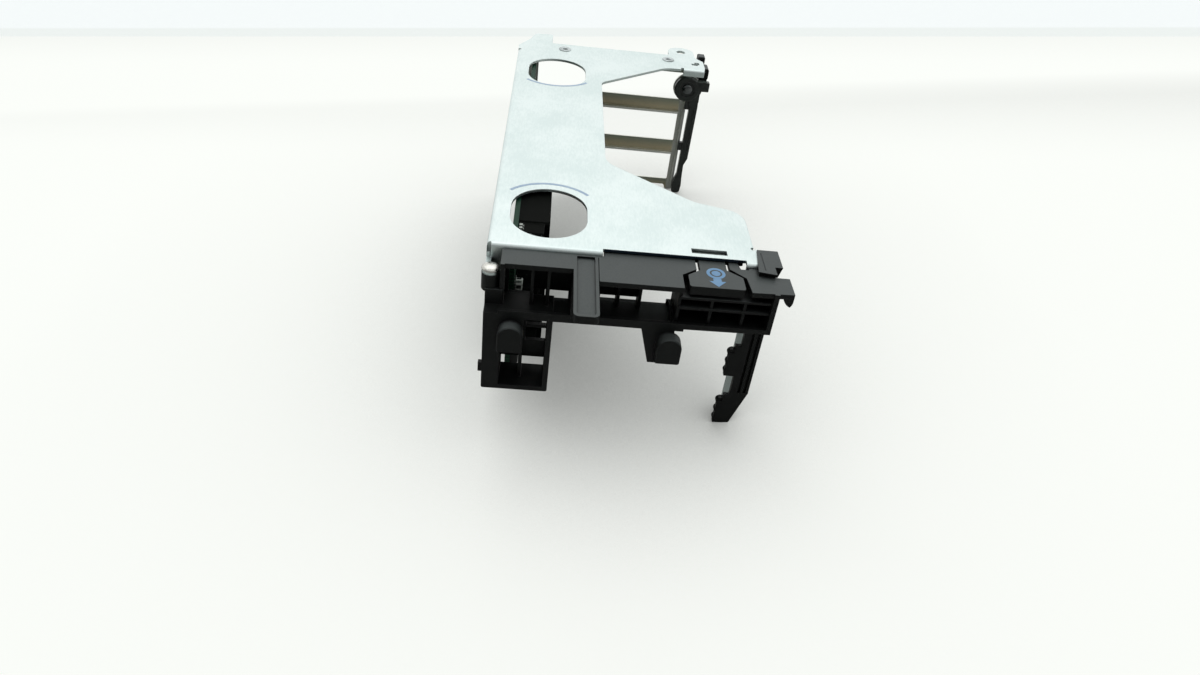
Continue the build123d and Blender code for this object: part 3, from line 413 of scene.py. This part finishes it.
def bar_tones(n, where, tone, front, column, body, bar_reflection_tone):
    """Paints a reflection of a warm room and painted shade onto the rear bars' front faces, paler
    along their tops.
    """
    bars = n.product(n.math("SUBTRACT", 1.0, column), n.fade(where, "X", BAR_LEFT_SPAN))
    face = n.product(front, bars, n.fade(where, "Y", BAR_FACE_SPAN))
    below_first = n.math("SUBTRACT", at(0, 0, FIRST_BAR_TOP).z, where["Z"])
    below_top = n.math("MODULO", below_first, SLOT_PITCH * MM)
    rich = n.blend(n.ramp(tone, 0.36, 0.64, 0.75, 1.0), BAR_SHADE, bar_reflection_tone)
    rim = n.blend(n.ramp(below_top, 0.0, BAR_RIM * MM), BAR_RIM_REFLECTION, rich)
    return n.blend(face, body, rim)


def cut_end_share(n, where, front):
    """Painted shade on the plate's cut front end between its lips: the dark of the shadowed gap over
    the carrier and of the dim room that the end mirrors.
    """
    across = n.product(n.fade(where, "X", CUT_END_LEFT_SPAN),
                       n.fade(where, "X", CUT_END_RIGHT_SPAN, 1.0, 0.0))
    return n.product(front, n.product(across, n.fade(where, "Y", CUT_END_REAR_SPAN, 1.0, 0.0)))


def sheet_steel(name, pale, dull, edge_highlight_tone, roughness, shaded, bar_reflection_tone=None):
    """Zinc coated sheet, with painted highlights along its sharp edges and painted shade in its
    recesses and on the cut front end. A bar reflection tone marks the rear bracket, with its bars,
    which get a painted reflection, and its column.
    """
    finish, n, shader = new_finish(name, roughness, 1.0)
    grain = n.use(ROLLED_GRAIN, Line_Scale=1500.0, Stretch=0.25, Patch_Scale=60.0)
    rounded_edges = n.use(ROUNDED_EDGE, Radius=0.00035, Break_Up=700.0)
    where = n.split(n.place())
    tone = n.math("ADD", n.math("MULTIPLY", grain["Lines"], 0.55),
                  n.math("MULTIPLY", grain["Patches"], 0.45))
    body = n.blend(n.ramp(tone, 0.40, 0.60), dull, pale)
    body = n.blend(n.math("MULTIPLY", grain["Specks"], SPECK_SHARE), body, dull)
    front = n.ramp(n.split(n.normal())["Y"], -0.8, -0.3, 1.0, 0.0)
    if bar_reflection_tone:
        column = n.fade(where, "X", COLUMN_SPAN)
        metallic = n.ramp(n.product(front, column), 0.0, 1.0, 1.0, COLUMN_METALLIC)
        n.feed(shader, "Metallic", metallic)
        # Painted reflection and shade on the rear bars.
        body = bar_tones(n, where, tone, front, column, body, bar_reflection_tone)
    # Painted highlight along sharp edges.
    body = n.blend(n.math("MULTIPLY", rounded_edges["Edge"], EDGE_HIGHLIGHT_SHARE), body, edge_highlight_tone)
    # Painted shade on the cut front end.
    body = n.blend(cut_end_share(n, where, front), body, CUT_END_SHADE)
    # Painted shade deep in recesses and narrow gaps.
    recess_shade = n.math("MULTIPLY", n.use(RECESS, Reach=0.0025)["Recess"], shaded)
    n.feed(shader, "Base Color", n.blend(recess_shade, body, STEEL_RECESS_SHADE))
    n.feed(shader, "Roughness", n.ramp(grain["Lines"], 0.3, 0.7, roughness - 0.06, roughness + 0.08))
    n.feed(shader, "Normal", n.bumped(grain["Lines"], 0.2, 0.00003, rounded_edges["Normal"]))
    return finish


def moulded(name, tone, lighter, roughness, specular, edge, dust_and_sheen_tone=None):
    """Black moulding. Its upper faces near the plate, and the carrier's pegs, get a paler tone that
    stands for dust and for a painted sheen of the light from above. Edge is the share of a painted
    highlight along sharp edges, and recesses get painted shade.
    """
    finish, n, shader = new_finish(name, roughness, 0.0, specular)
    skin = n.use(MOULD_SKIN, Grain_Scale=5000.0, Cloud_Scale=140.0)
    rounded_edges = n.use(ROUNDED_EDGE, Radius=0.0003, Break_Up=600.0)
    body = n.blend(n.ramp(skin["Cloud"], 0.35, 0.7), tone, lighter)
    # Paler upper faces: dust, and a painted sheen of the light from above.
    if dust_and_sheen_tone:
        where = n.split(n.place())
        high = n.fade(where, "Z", CARRIER_TOP_SPAN)
        pegs = n.fade(where, "Y", PEG_SPAN, 1.0, 0.0)
        dust_and_sheen = n.use(DUST_AND_SHEEN, Shelter=0.03, Speck_Scale=2500.0)["Dust"]
        body = n.blend(n.product(dust_and_sheen, n.math("MAXIMUM", high, pegs)), body, dust_and_sheen_tone)
    # Painted highlight along sharp edges; edge gives its share.
    body = n.blend(n.math("MULTIPLY", rounded_edges["Edge"], edge), body, MOULD_EDGE_HIGHLIGHT)
    # Painted shade deep in recesses and narrow gaps.
    recess_shade = n.math("MULTIPLY", n.use(RECESS, Reach=0.006)["Recess"], 0.85)
    n.feed(shader, "Base Color", n.blend(recess_shade, body, MOULD_RECESS_SHADE))
    n.feed(shader, "Roughness", n.ramp(skin["Cloud"], 0.3, 0.7, roughness - 0.05, roughness + 0.07))
    n.feed(shader, "Normal", n.bumped(skin["Grain"], 0.3, 0.00002, rounded_edges["Normal"]))
    return finish


def plated(name, tone, darker, roughness):
    """Small bright metal parts."""
    finish, n, shader = new_finish(name, roughness, 1.0)
    grain = n.use(ROLLED_GRAIN, Line_Scale=2500.0, Stretch=1.0, Patch_Scale=400.0)
    rounded_edges = n.use(ROUNDED_EDGE, Radius=0.0002, Break_Up=1500.0)
    n.feed(shader, "Base Color", n.blend(n.ramp(grain["Patches"], 0.35, 0.65), darker, tone))
    n.feed(shader, "Roughness", n.ramp(grain["Lines"], 0.3, 0.7, roughness - 0.05, roughness + 0.1))
    n.feed(shader, "Normal", n.bumped(grain["Lines"], 0.15, 0.00001, rounded_edges["Normal"]))
    return finish


def laminate():
    """Green solder mask over copper tracks."""
    finish, n, shader = new_finish("green_laminate", 0.45, 0.0, 0.15)
    where = n.place()
    weave = n.noise(where, 2500.0, 2.0)
    tracks = n.add("ShaderNodeTexWave", {"wave_type": "BANDS", "bands_direction": "Z"},
                   Vector=where, Scale=260.0, Distortion=2.2, Detail=1.0, Detail_Scale=0.6)
    share = n.ramp(tracks.outputs[1], 0.62, 0.7)
    body = n.blend(share, (0.008, 0.040, 0.022, 1), (0.018, 0.085, 0.042, 1))
    body = n.blend(n.math("MULTIPLY", weave, 0.25), body, (0.03, 0.11, 0.055, 1))
    n.feed(shader, "Base Color", body)
    n.feed(shader, "Normal", n.bumped(share, 0.3, 0.00004))
    return finish


def print_ink(name, colour, variation):
    """Printed marks."""
    finish, n, shader = new_finish(name, 0.45)
    skin = n.use(MOULD_SKIN, Grain_Scale=4000.0, Cloud_Scale=300.0)
    n.feed(shader, "Base Color", n.blend(n.ramp(skin["Cloud"], 0.3, 0.7), colour, variation))
    n.feed(shader, "Normal", n.bumped(skin["Grain"], 0.2, 0.00001))
    return finish


# How much of the stage's own pale tone shows in gloss: the room in front is dim.
MIRRORED_SHARE = 0.2

# The floor's shadows, in metres. The wide one ends before the wall, along world Y.
CONTACT_SHADOW_REACH = 0.08
CAST_SHADOW_REACH = 0.2
CAST_SHADOW_END = (0.03, 0.23)
SHADOW_SAMPLES = 10


def floor_shade(n):
    """How bright the floor is: a close contact shadow, and a wide one from a light at the rear."""
    contact = n.ramp(n.openness(CONTACT_SHADOW_REACH, SHADOW_SAMPLES), 0.0, 0.9, 0.85, 1.0)
    lit_from = (FLOOR_UP * 0.6 + FLOOR_AWAY * 0.8).normalized()
    lit_share = n.openness(CAST_SHADOW_REACH, SHADOW_SAMPLES, Normal=lit_from)
    back = n.split(n.add("ShaderNodeNewGeometry").outputs["Position"])["Y"]
    cast = n.math("MAXIMUM", n.ramp(lit_share, 0.22, 0.97, 0.20, 1.0), n.ramp(back, *CAST_SHADOW_END))
    return contact, cast


def studio_surface(name, colour, glow, soft, backdrop=False):
    """A matt surface that keeps shadows and shows pale to the camera and in reflections.

    A backdrop shows to the camera alone, and lets the light of the room through."""
    finish = bpy.data.materials.new(name)
    finish.use_nodes = True
    finish.node_tree.nodes.clear()
    n = Nodes(finish.node_tree)
    rays = n.add("ShaderNodeLightPath").outputs
    mirrored = n.math("MULTIPLY", rays["Is Glossy Ray"], MIRRORED_SHARE)
    seen = n.math("MAXIMUM", rays["Is Camera Ray"], mirrored)
    seen = n.math("MAXIMUM", seen, rays["Is Transmission Ray"])
    if not backdrop:
        seen = n.product(seen, *floor_shade(n))
    matt = n.add("ShaderNodeBsdfDiffuse", Color=n.blend(n.noise(n.place(), 3.0, 2.0), colour, soft))
    lit = n.add("ShaderNodeEmission", Color=glow, Strength=seen)
    both = n.add("ShaderNodeAddShader")
    n.feed(both, "0", matt.outputs[0])
    n.feed(both, "1", lit.outputs[0])
    shown = both.outputs[0]
    if backdrop:
        choice = n.add("ShaderNodeMixShader")
        n.feed(choice, "0", rays["Is Camera Ray"])
        n.feed(choice, "1", n.add("ShaderNodeBsdfTransparent").outputs[0])
        n.feed(choice, "2", shown)
        shown = choice.outputs[0]
    n.add("ShaderNodeOutputMaterial", Surface=shown)
    return finish


GALVANISED = sheet_steel(
    "galvanised_sheet", pale=(0.79, 0.875, 0.86, 1), dull=(0.69, 0.79, 0.775, 1),
    edge_highlight_tone=(0.90, 0.94, 0.93, 1), roughness=0.42, shaded=0.6)
BRACKET = sheet_steel(
    "bracket_sheet", pale=(0.88, 0.90, 0.84, 1), dull=(0.74, 0.76, 0.70, 1),
    edge_highlight_tone=(0.94, 0.95, 0.92, 1), roughness=0.42, shaded=0.2, bar_reflection_tone=(0.68, 0.60, 0.41, 1))
RIVET = plated("rivet_metal", (0.60, 0.66, 0.66, 1), (0.40, 0.44, 0.44, 1), 0.38)
BLACK = moulded(
    "black_moulding", (0.009, 0.010, 0.010, 1), (0.015, 0.017, 0.016, 1),
    roughness=0.38, specular=0.2, edge=0.15, dust_and_sheen_tone=(0.098, 0.113, 0.111, 1))
GLOSSY_BLACK = moulded(
    "glossy_moulding", (0.018, 0.024, 0.020, 1), (0.032, 0.042, 0.036, 1),
    roughness=0.20, specular=0.5, edge=0.8, dust_and_sheen_tone=(0.070, 0.086, 0.076, 1))
SLOT_BLACK = moulded(
    "slot_moulding", (0.004, 0.005, 0.004, 1), (0.008, 0.009, 0.008, 1),
    roughness=0.65, specular=0.03, edge=0.3)
CHIP_BLACK = moulded(
    "chip_moulding", (0.03, 0.03, 0.03, 1), (0.045, 0.045, 0.045, 1),
    roughness=0.6, specular=0.3, edge=0.1)
SCREW = plated("screw_plating", (0.72, 0.72, 0.67, 1), (0.56, 0.56, 0.52, 1), 0.24)
PIN = plated("pin_metal", (0.20, 0.21, 0.21, 1), (0.12, 0.13, 0.13, 1), 0.14)
CAN = plated("can_sleeve", (0.42, 0.45, 0.42, 1), (0.22, 0.25, 0.22, 1), 0.3)
GOLD = plated("gold_plating", (0.90, 0.66, 0.26, 1), (0.75, 0.52, 0.18, 1), 0.25)
MASK = laminate()
ARC_BLUE = print_ink("arc_print", (0.42, 0.58, 0.78, 1), (0.54, 0.69, 0.84, 1))
MARK_BLUE = print_ink("mark_print", (0.16, 0.36, 0.62, 1), (0.22, 0.42, 0.66, 1))
FLOOR = studio_surface(
    "floor_paper", (0.28, 0.29, 0.28, 1), (0.77, 0.785, 0.755, 1), (0.30, 0.31, 0.30, 1))
WALL = studio_surface(
    "wall_paper", (0.28, 0.29, 0.29, 1), (0.86, 0.90, 0.90, 1), (0.30, 0.31, 0.31, 1),
    backdrop=True)
# The wall's foot: a strip of painted shade, a little darker than the wall.
SEAM_SHADE = studio_surface(
    "wall_foot_shade", (0.26, 0.28, 0.28, 1), (0.80, 0.84, 0.82, 1), (0.28, 0.29, 0.29, 1),
    backdrop=True)

WEAR = {
    "top_plate": GALVANISED,
    "rear_bracket": BRACKET,
    "bracket_rivets": RIVET,
    "front_carrier": BLACK,
    "carrier_screw": SCREW,
    "release_latch": BLACK,
    "card_guide": BLACK,
    "slot_retainer": GLOSSY_BLACK,
    "retainer_pin": PIN,
    "retainer_stop": BLACK,
    "riser_board": MASK,
    "board_standoffs": SCREW,
    "board_screws": SCREW,
    "can_capacitor": CAN,
    "block_capacitors": CHIP_BLACK,
    "buffer_chip": CHIP_BLACK,
    "slot_connector_upper": SLOT_BLACK,
    "slot_connector_middle": SLOT_BLACK,
    "slot_connector_lower": SLOT_BLACK,
}


def dress_nodes():
    """Gives each CAD node its finish."""
    for name, finish in WEAR.items():
        for place in NODES[name].material_slots:
            place.material = finish


def thicken(bm, along):
    """Closes every open sheet in bm into a thin solid; along is in millimetres.

    It goes by index, so that the mesh is in the same order at each run."""
    bm.verts.index_update()
    sheets = list(bm.faces)
    rims = [edge for edge in bm.edges if edge.is_boundary]
    twins = [bm.verts.new(vert.co + Vector(along) * MM) for vert in list(bm.verts)]
    for face in sheets:
        bm.faces.new([twins[vert.index] for vert in reversed(face.verts)])
    for a, b in (edge.verts for edge in rims):
        bm.faces.new((a, b, twins[b.index], twins[a.index]))


def loft(bm, first, second, closed=False):
    """Faces between two rows of vertices."""
    for i in range(len(first) if closed else len(first) - 1):
        j = (i + 1) % len(first)
        bm.faces.new((first[i], first[j], second[j], second[i]))


def full_turn(steps):
    return [2 * math.pi * i / steps for i in range(steps)]


# A print stands this far above its surface in millimetres, and reaches a little below it.
PRINT_RISE = 0.03
PRINT_DEPTH = (0.0, 0.0, -0.05)

# Three points on each finger hole's arc, and half the line's width.
HOLE_ARCS = {
    "front_hole_arc": ((4.8, 33.5), (16.2, 39.6), (29.5, 33.9)),
    "rear_hole_arc": ((5.4, 128.5), (17.6, 124.2), (29.5, 130.2)),
}
ARC_HALF_WIDTH = 0.55
ARC_STEPS = 40


def circle_through(a, b, c):
    """Centre X and Y and radius of the circle through three points."""
    (ax, ay), (bx, by), (cx, cy) = a, b, c
    aa, bb, cc = ax**2 + ay**2, bx**2 + by**2, cx**2 + cy**2
    d = 2 * (ax * (by - cy) + bx * (cy - ay) + cx * (ay - by))
    x = (aa * (by - cy) + bb * (cy - ay) + cc * (ay - by)) / d
    y = (aa * (cx - bx) + bb * (ax - cx) + cc * (bx - ax)) / d
    return x, y, math.hypot(ax - x, ay - y)


def build_hole_arcs():
    """The pale blue arcs beside the two finger holes."""
    for name, (a, b, c) in HOLE_ARCS.items():
        x, y, radius = circle_through(a, b, c)
        first = math.atan2(a[1] - y, a[0] - x)
        last = math.atan2(c[1] - y, c[0] - x)
        turns = [first + (last - first) * i / ARC_STEPS for i in range(ARC_STEPS + 1)]

        def band(bm, x=x, y=y, radius=radius, turns=turns):
            rows = []
            for r in (radius - ARC_HALF_WIDTH, radius + ARC_HALF_WIDTH):
                row = [at(x + r * math.cos(t), y + r * math.sin(t), PRINT_RISE) for t in turns]
                rows.append([bm.verts.new(point) for point in row])
            loft(bm, *rows)
            thicken(bm, PRINT_DEPTH)

        mesh_object(name, band, "cage", ARC_BLUE)


REVOLVE_STEPS = 56
DOME_ROWS = 10
DOME_EDGE = 0.18


def revolve(bm, profile, centre, axis):
    """Turns a profile of (radius, height) pairs in mm about an axis through centre.

    The profile starts and ends on the axis, so the solid is closed."""
    side = axis.orthogonal().normalized()
    other = axis.cross(side)
    rows = []
    for radius, height in profile:
        level = centre + axis * height * MM
        turns = full_turn(REVOLVE_STEPS) if radius else [0.0]
        spokes = [side * math.cos(t) + other * math.sin(t) for t in turns]
        rows.append([bm.verts.new(level + spoke * radius * MM) for spoke in spokes])
    for low, high in zip(rows, rows[1:]):
        for i in range(REVOLVE_STEPS):
            j = (i + 1) % REVOLVE_STEPS
            corners = [low[i % len(low)], low[j % len(low)], high[j % len(high)], high[i % len(high)]]
            corners = list(dict.fromkeys(corners))
            if len(corners) > 2:
                bm.faces.new(corners)


def dome(radius, rim, height):
    """The profile of a rounded head, with an eased edge, from its seat to its crown."""
    points = [(radius - DOME_EDGE, 0.0), (radius, DOME_EDGE * 0.6), (radius, rim)]
    for i in range(1, DOME_ROWS + 1):
        turn = math.pi / 2 * i / DOME_ROWS
        out = radius * math.cos(turn) if i < DOME_ROWS else 0
        points.append((out, rim + (height - rim) * math.sin(turn)))
    return points


# Seats of the revolved pieces in construction millimetres. The profiles are (radius, height).
SCREW_SEAT = (1.8, -6.0, -4.6)
SCREW_SHANK = [(0, -4.3), (1.2, -4.3), (1.45, -4.0), (1.45, 0.0)]
PIN_SEAT = (76.7, 166.0, -12.3)
PIN_TAIL = [(0, -4.1), (1.9, -4.1), (2.1, -3.95), (2.1, -3.6), (2.0, -3.5), (1.5, -3.5), (1.5, 0.0)]
RIVET_SEATS = ((20.2, 167.2, 0.0), (66.2, 167.2, 0.0))
RIVET_FOOT = [(0, -2.7), (2.5, -2.7), (2.7, -2.5), (2.7, -2.0), (1.6, -2.0), (1.6, 0.0)]
RIVET_HEAD = [(2.62, 0.0), (2.7, 0.08), (2.7, 0.16), (2.5, 0.30), (1.7, 0.33), (1.4, 0.25)]
RIVET_DISH = [(1.2, 0.0), (1.1, -0.5), (0.8, -0.8), (0, -0.9)]
UP = Vector((0, 0, 1))
TO_FRONT = Vector((0, -1, 0))


def build_carrier_screw():
    """A rounded head on a plain shank, in the boss at the front left."""

    def screw(bm):
        revolve(bm, SCREW_SHANK + dome(2.65, 0.35, 1.35), at(*SCREW_SEAT), UP)

    head = mesh_object("carrier_screw_head", screw, "cage", SCREW, smooth=True)
    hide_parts("carrier_screw")


def build_retainer_pin():
    """The rounded glossy head of the retainer's pin, with its shank and swaged tail."""

    def pin(bm):
        revolve(bm, PIN_TAIL + dome(2.3, 0.3, 1.25), at(*PIN_SEAT), TO_FRONT)

    head = mesh_object("retainer_pin_head", pin, "cage", PIN, smooth=True)
    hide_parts("retainer_pin")


def build_rivets():
    """Two flat rivets with a dished middle, through the plate and the bracket's flange."""

    def rivets(bm):
        for seat in RIVET_SEATS:
            revolve(bm, RIVET_FOOT + RIVET_HEAD + RIVET_DISH, at(*seat), UP)

    heads = mesh_object("rivet_heads", rivets, "cage", RIVET, smooth=True)
    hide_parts("bracket_rivets")


# Card slots: their mouths face right, one below the other.
SLOT_LEVELS = (("upper", -5.9), ("middle", -26.22), ("lower", -46.54))
SLOT_MOUTH = 18.0
SLOT_ENDS = (20.6, 104.4)
SLOT_KEY = (92.0, 94.7)
CONTACT_PITCH = 1.0
KEY_MARGIN = 0.5

# One leaf's path, as its depth from the mouth and its lift from the slot's middle.
LEAF = ((-7.2, 0.82), (-5.6, 0.70), (-3.6, 0.34), (-2.6, 0.30), (-1.7, 0.52), (-1.1, 0.86))
LEAF_HALF_WIDTH = 0.3
LEAF_THICKNESS = (0.0, 0.0, 0.08)

# One clip's path, as X and its height over the slot's top face, and the Y of its two arms.
CLIP = ((8.45, -2.2), (8.45, 0.5), (8.75, 0.75), (9.6, 0.75), (9.9, 0.45), (10.1, 0.02))
CLIP_ARMS = ((13.2, 14.3), (15.0, 16.1))
CLIP_THICKNESS = (0.12, 0.0, -0.12)
SLOT_HALF_HEIGHT = 3.3

# The gold fingers on the board's plug edge: each face's X with the way out of it.
EDGE_ENDS = (45.0, 131.0)
EDGE_KEY = (117.5, 119.2)
EDGE_FACES = ((6.7, -0.03), (8.3, 0.03))
FINGER_BOTTOM, FINGER_TOP = -71.5, -67.6
FINGER_HALF_WIDTH = 0.33
FINGER_TIP_HALF_WIDTH, FINGER_TIP = 0.18, 0.2


def contact_places(ends, key):
    """Every place at the contact pitch, apart from the key."""
    first, last = ends
    count = int((last - first) / CONTACT_PITCH) + 1
    places = [first + CONTACT_PITCH * i for i in range(count)]
    return [y for y in places if not key[0] - KEY_MARGIN < y < key[1] + KEY_MARGIN]


def bent_strip(bm, path, y0, y1):
    """A strip bent along a path of (x, z) points."""
    rows = [[bm.verts.new(at(x, y, z)) for y in (y0, y1)] for x, z in path]
    for low, high in zip(rows, rows[1:]):
        loft(bm, low, high)


def build_slot_contacts():
    """Two rows of bowed gold leaves inside each slot."""
    for name, level in SLOT_LEVELS:

        def leaves(bm, level=level):
            for y in contact_places(SLOT_ENDS, SLOT_KEY):
                for side in (-1, 1):
                    path = [(SLOT_MOUTH + depth, level + side * lift) for depth, lift in LEAF]
                    bent_strip(bm, path, y - LEAF_HALF_WIDTH, y + LEAF_HALF_WIDTH)
            thicken(bm, LEAF_THICKNESS)

        mesh_object("slot_contacts_" + name, leaves, "cage", GOLD)


def build_slot_clips():
    """The folded tin clip at the front end of each slot, where its end stands on the board."""
    for name, level in SLOT_LEVELS:

        def clip(bm, top=level + SLOT_HALF_HEIGHT):
            path = [(x, top + height) for x, height in CLIP]
            for y0, y1 in CLIP_ARMS:
                bent_strip(bm, path, y0, y1)
            thicken(bm, CLIP_THICKNESS)

        mesh_object("slot_clip_" + name, clip, "cage", CAN)


def build_edge_contacts():
    """Gold fingers on both faces of the board's plug edge."""
    wide, tip, high = FINGER_HALF_WIDTH, FINGER_TIP_HALF_WIDTH, FINGER_TOP + FINGER_TIP
    shape = ((-wide, FINGER_BOTTOM), (wide, FINGER_BOTTOM), (wide, FINGER_TOP),
             (tip, high), (-tip, high), (-wide, FINGER_TOP))

    def fingers(bm):
        for y in contact_places(EDGE_ENDS, EDGE_KEY):
            for x, out in EDGE_FACES:
                near = [bm.verts.new(at(x, y + w, z)) for w, z in shape]
                far = [bm.verts.new(at(x + out, y + w, z)) for w, z in shape]
                bm.faces.new(far)
                bm.faces.new(near)
                loft(bm, near, far, closed=True)

    mesh_object("edge_contacts", fingers, "cage", GOLD)


# The latch's mark: its disc's centre, its height, its radii and its arrow's half widths,
# with the arrow's root, the back of its head and its tip measured forward of the centre.
MARK_CENTRE = (66.7, -4.4)
MARK_HEIGHT = -1.17
MARK_DISC = 1.33
MARK_RING = (1.85, 2.8)
MARK_STEPS = 48
ARROW_STEM, ARROW_WIDE = 1.2, 2.45
ARROW_ROOT, ARROW_HEAD, ARROW_TIP = 2.75, 4.2, 7.0


def build_latch_mark():
    """A ring round a disc, and an arrow that points to the front."""
    x, y = MARK_CENTRE

    def circle(bm, radius):
        points = [(x + radius * math.cos(t), y + radius * math.sin(t)) for t in full_turn(MARK_STEPS)]
        return [bm.verts.new(at(px, py, MARK_HEIGHT)) for px, py in points]

    def mark(bm):
        bm.faces.new(circle(bm, MARK_DISC))
        inner, outer = (circle(bm, radius) for radius in MARK_RING)
        loft(bm, inner, outer, closed=True)
        root, head, tip = y - ARROW_ROOT, y - ARROW_HEAD, y - ARROW_TIP
        arrow = [(x - ARROW_STEM, root), (x + ARROW_STEM, root), (x + ARROW_STEM, head),
                 (x + ARROW_WIDE, head), (x, tip), (x - ARROW_WIDE, head), (x - ARROW_STEM, head)]
        bm.faces.new([bm.verts.new(at(px, py, MARK_HEIGHT)) for px, py in arrow])
        thicken(bm, PRINT_DEPTH)

    mesh_object("latch_mark", mark, "latch", MARK_BLUE)


# Lamps: how far right, away and up of the middle in metres, then size, watts and colour.
LIT_MIDDLE = (40, 80, -30)
LAMPS = {
    "overhead_softbox": ((-0.1, 0.55, 1.15), (1.2, 0.9), 2.0, (1.0, 1.0, 0.99)),
    "side_softbox": ((1.1, 0.3, 0.8), (0.8, 0.8), 0.5, (1.0, 1.0, 1.0)),
}


def build_lamps():
    middle = at(*LIT_MIDDLE)
    for name, ((right, away, up), size, watts, colour) in LAMPS.items():
        lamp = bpy.data.lights.new(name, "AREA")
        lamp.shape = "RECTANGLE"
        lamp.size, lamp.size_y = size
        lamp.energy = watts
        lamp.color = colour
        holder = bpy.data.objects.new(name, lamp)
        bpy.context.scene.collection.objects.link(holder)
        place = middle + FLOOR_RIGHT * right + FLOOR_AWAY * away + FLOOR_UP * up
        holder.location = place
        holder.rotation_euler = (middle - place).to_track_quat("-Z", "Y").to_euler()


def build_world():
    """A white studio: bright behind and above, dim in front."""
    world = bpy.data.worlds.new("studio")
    bpy.context.scene.world = world
    world.use_nodes = True
    world.node_tree.nodes.clear()
    n = Nodes(world.node_tree)
    rays = n.add("ShaderNodeLightPath").outputs
    glossy = rays["Is Glossy Ray"]
    way = n.split(n.add("ShaderNodeTexCoord").outputs["Generated"])
    rear = n.ramp(way["Y"], -0.45, 0.25)
    high = n.ramp(way["Z"], 0.45, 0.95)
    lit_side = n.math("MAXIMUM", rear, n.math("MULTIPLY", high, 0.8))
    mirrored = n.math("MULTIPLY", glossy, n.ramp(lit_side, 0.0, 1.0, 0.22, 1.0))
    seen = n.math("MAXIMUM", rays["Is Camera Ray"], rays["Is Transmission Ray"])
    scattered = n.math("SUBTRACT", 1.0, n.math("MAXIMUM", seen, glossy))
    fill = n.math("MULTIPLY", n.ramp(way["Z"], -0.1, 0.9, 0.20, 0.95),
                  n.ramp(lit_side, 0.0, 1.0, 0.2, 1.0))
    strength = n.math("ADD", n.math("MAXIMUM", seen, mirrored), n.math("MULTIPLY", scattered, fill))
    glow = n.add("ShaderNodeBackground", Color=(1, 1, 1, 1), Strength=strength)
    n.add("ShaderNodeOutputWorld", Surface=glow.outputs[0])


def main():
    build_camera()
    build_floor(FLOOR, WALL, SEAM_SHADE)
    build_lamps()
    build_world()
    dress_nodes()
    build_hole_arcs()
    build_latch_mark()
    build_carrier_screw()
    build_retainer_pin()
    build_rivets()
    build_slot_contacts()
    build_slot_clips()
    build_edge_contacts()
    bpy.context.scene.view_settings.view_transform = "Standard"


main()
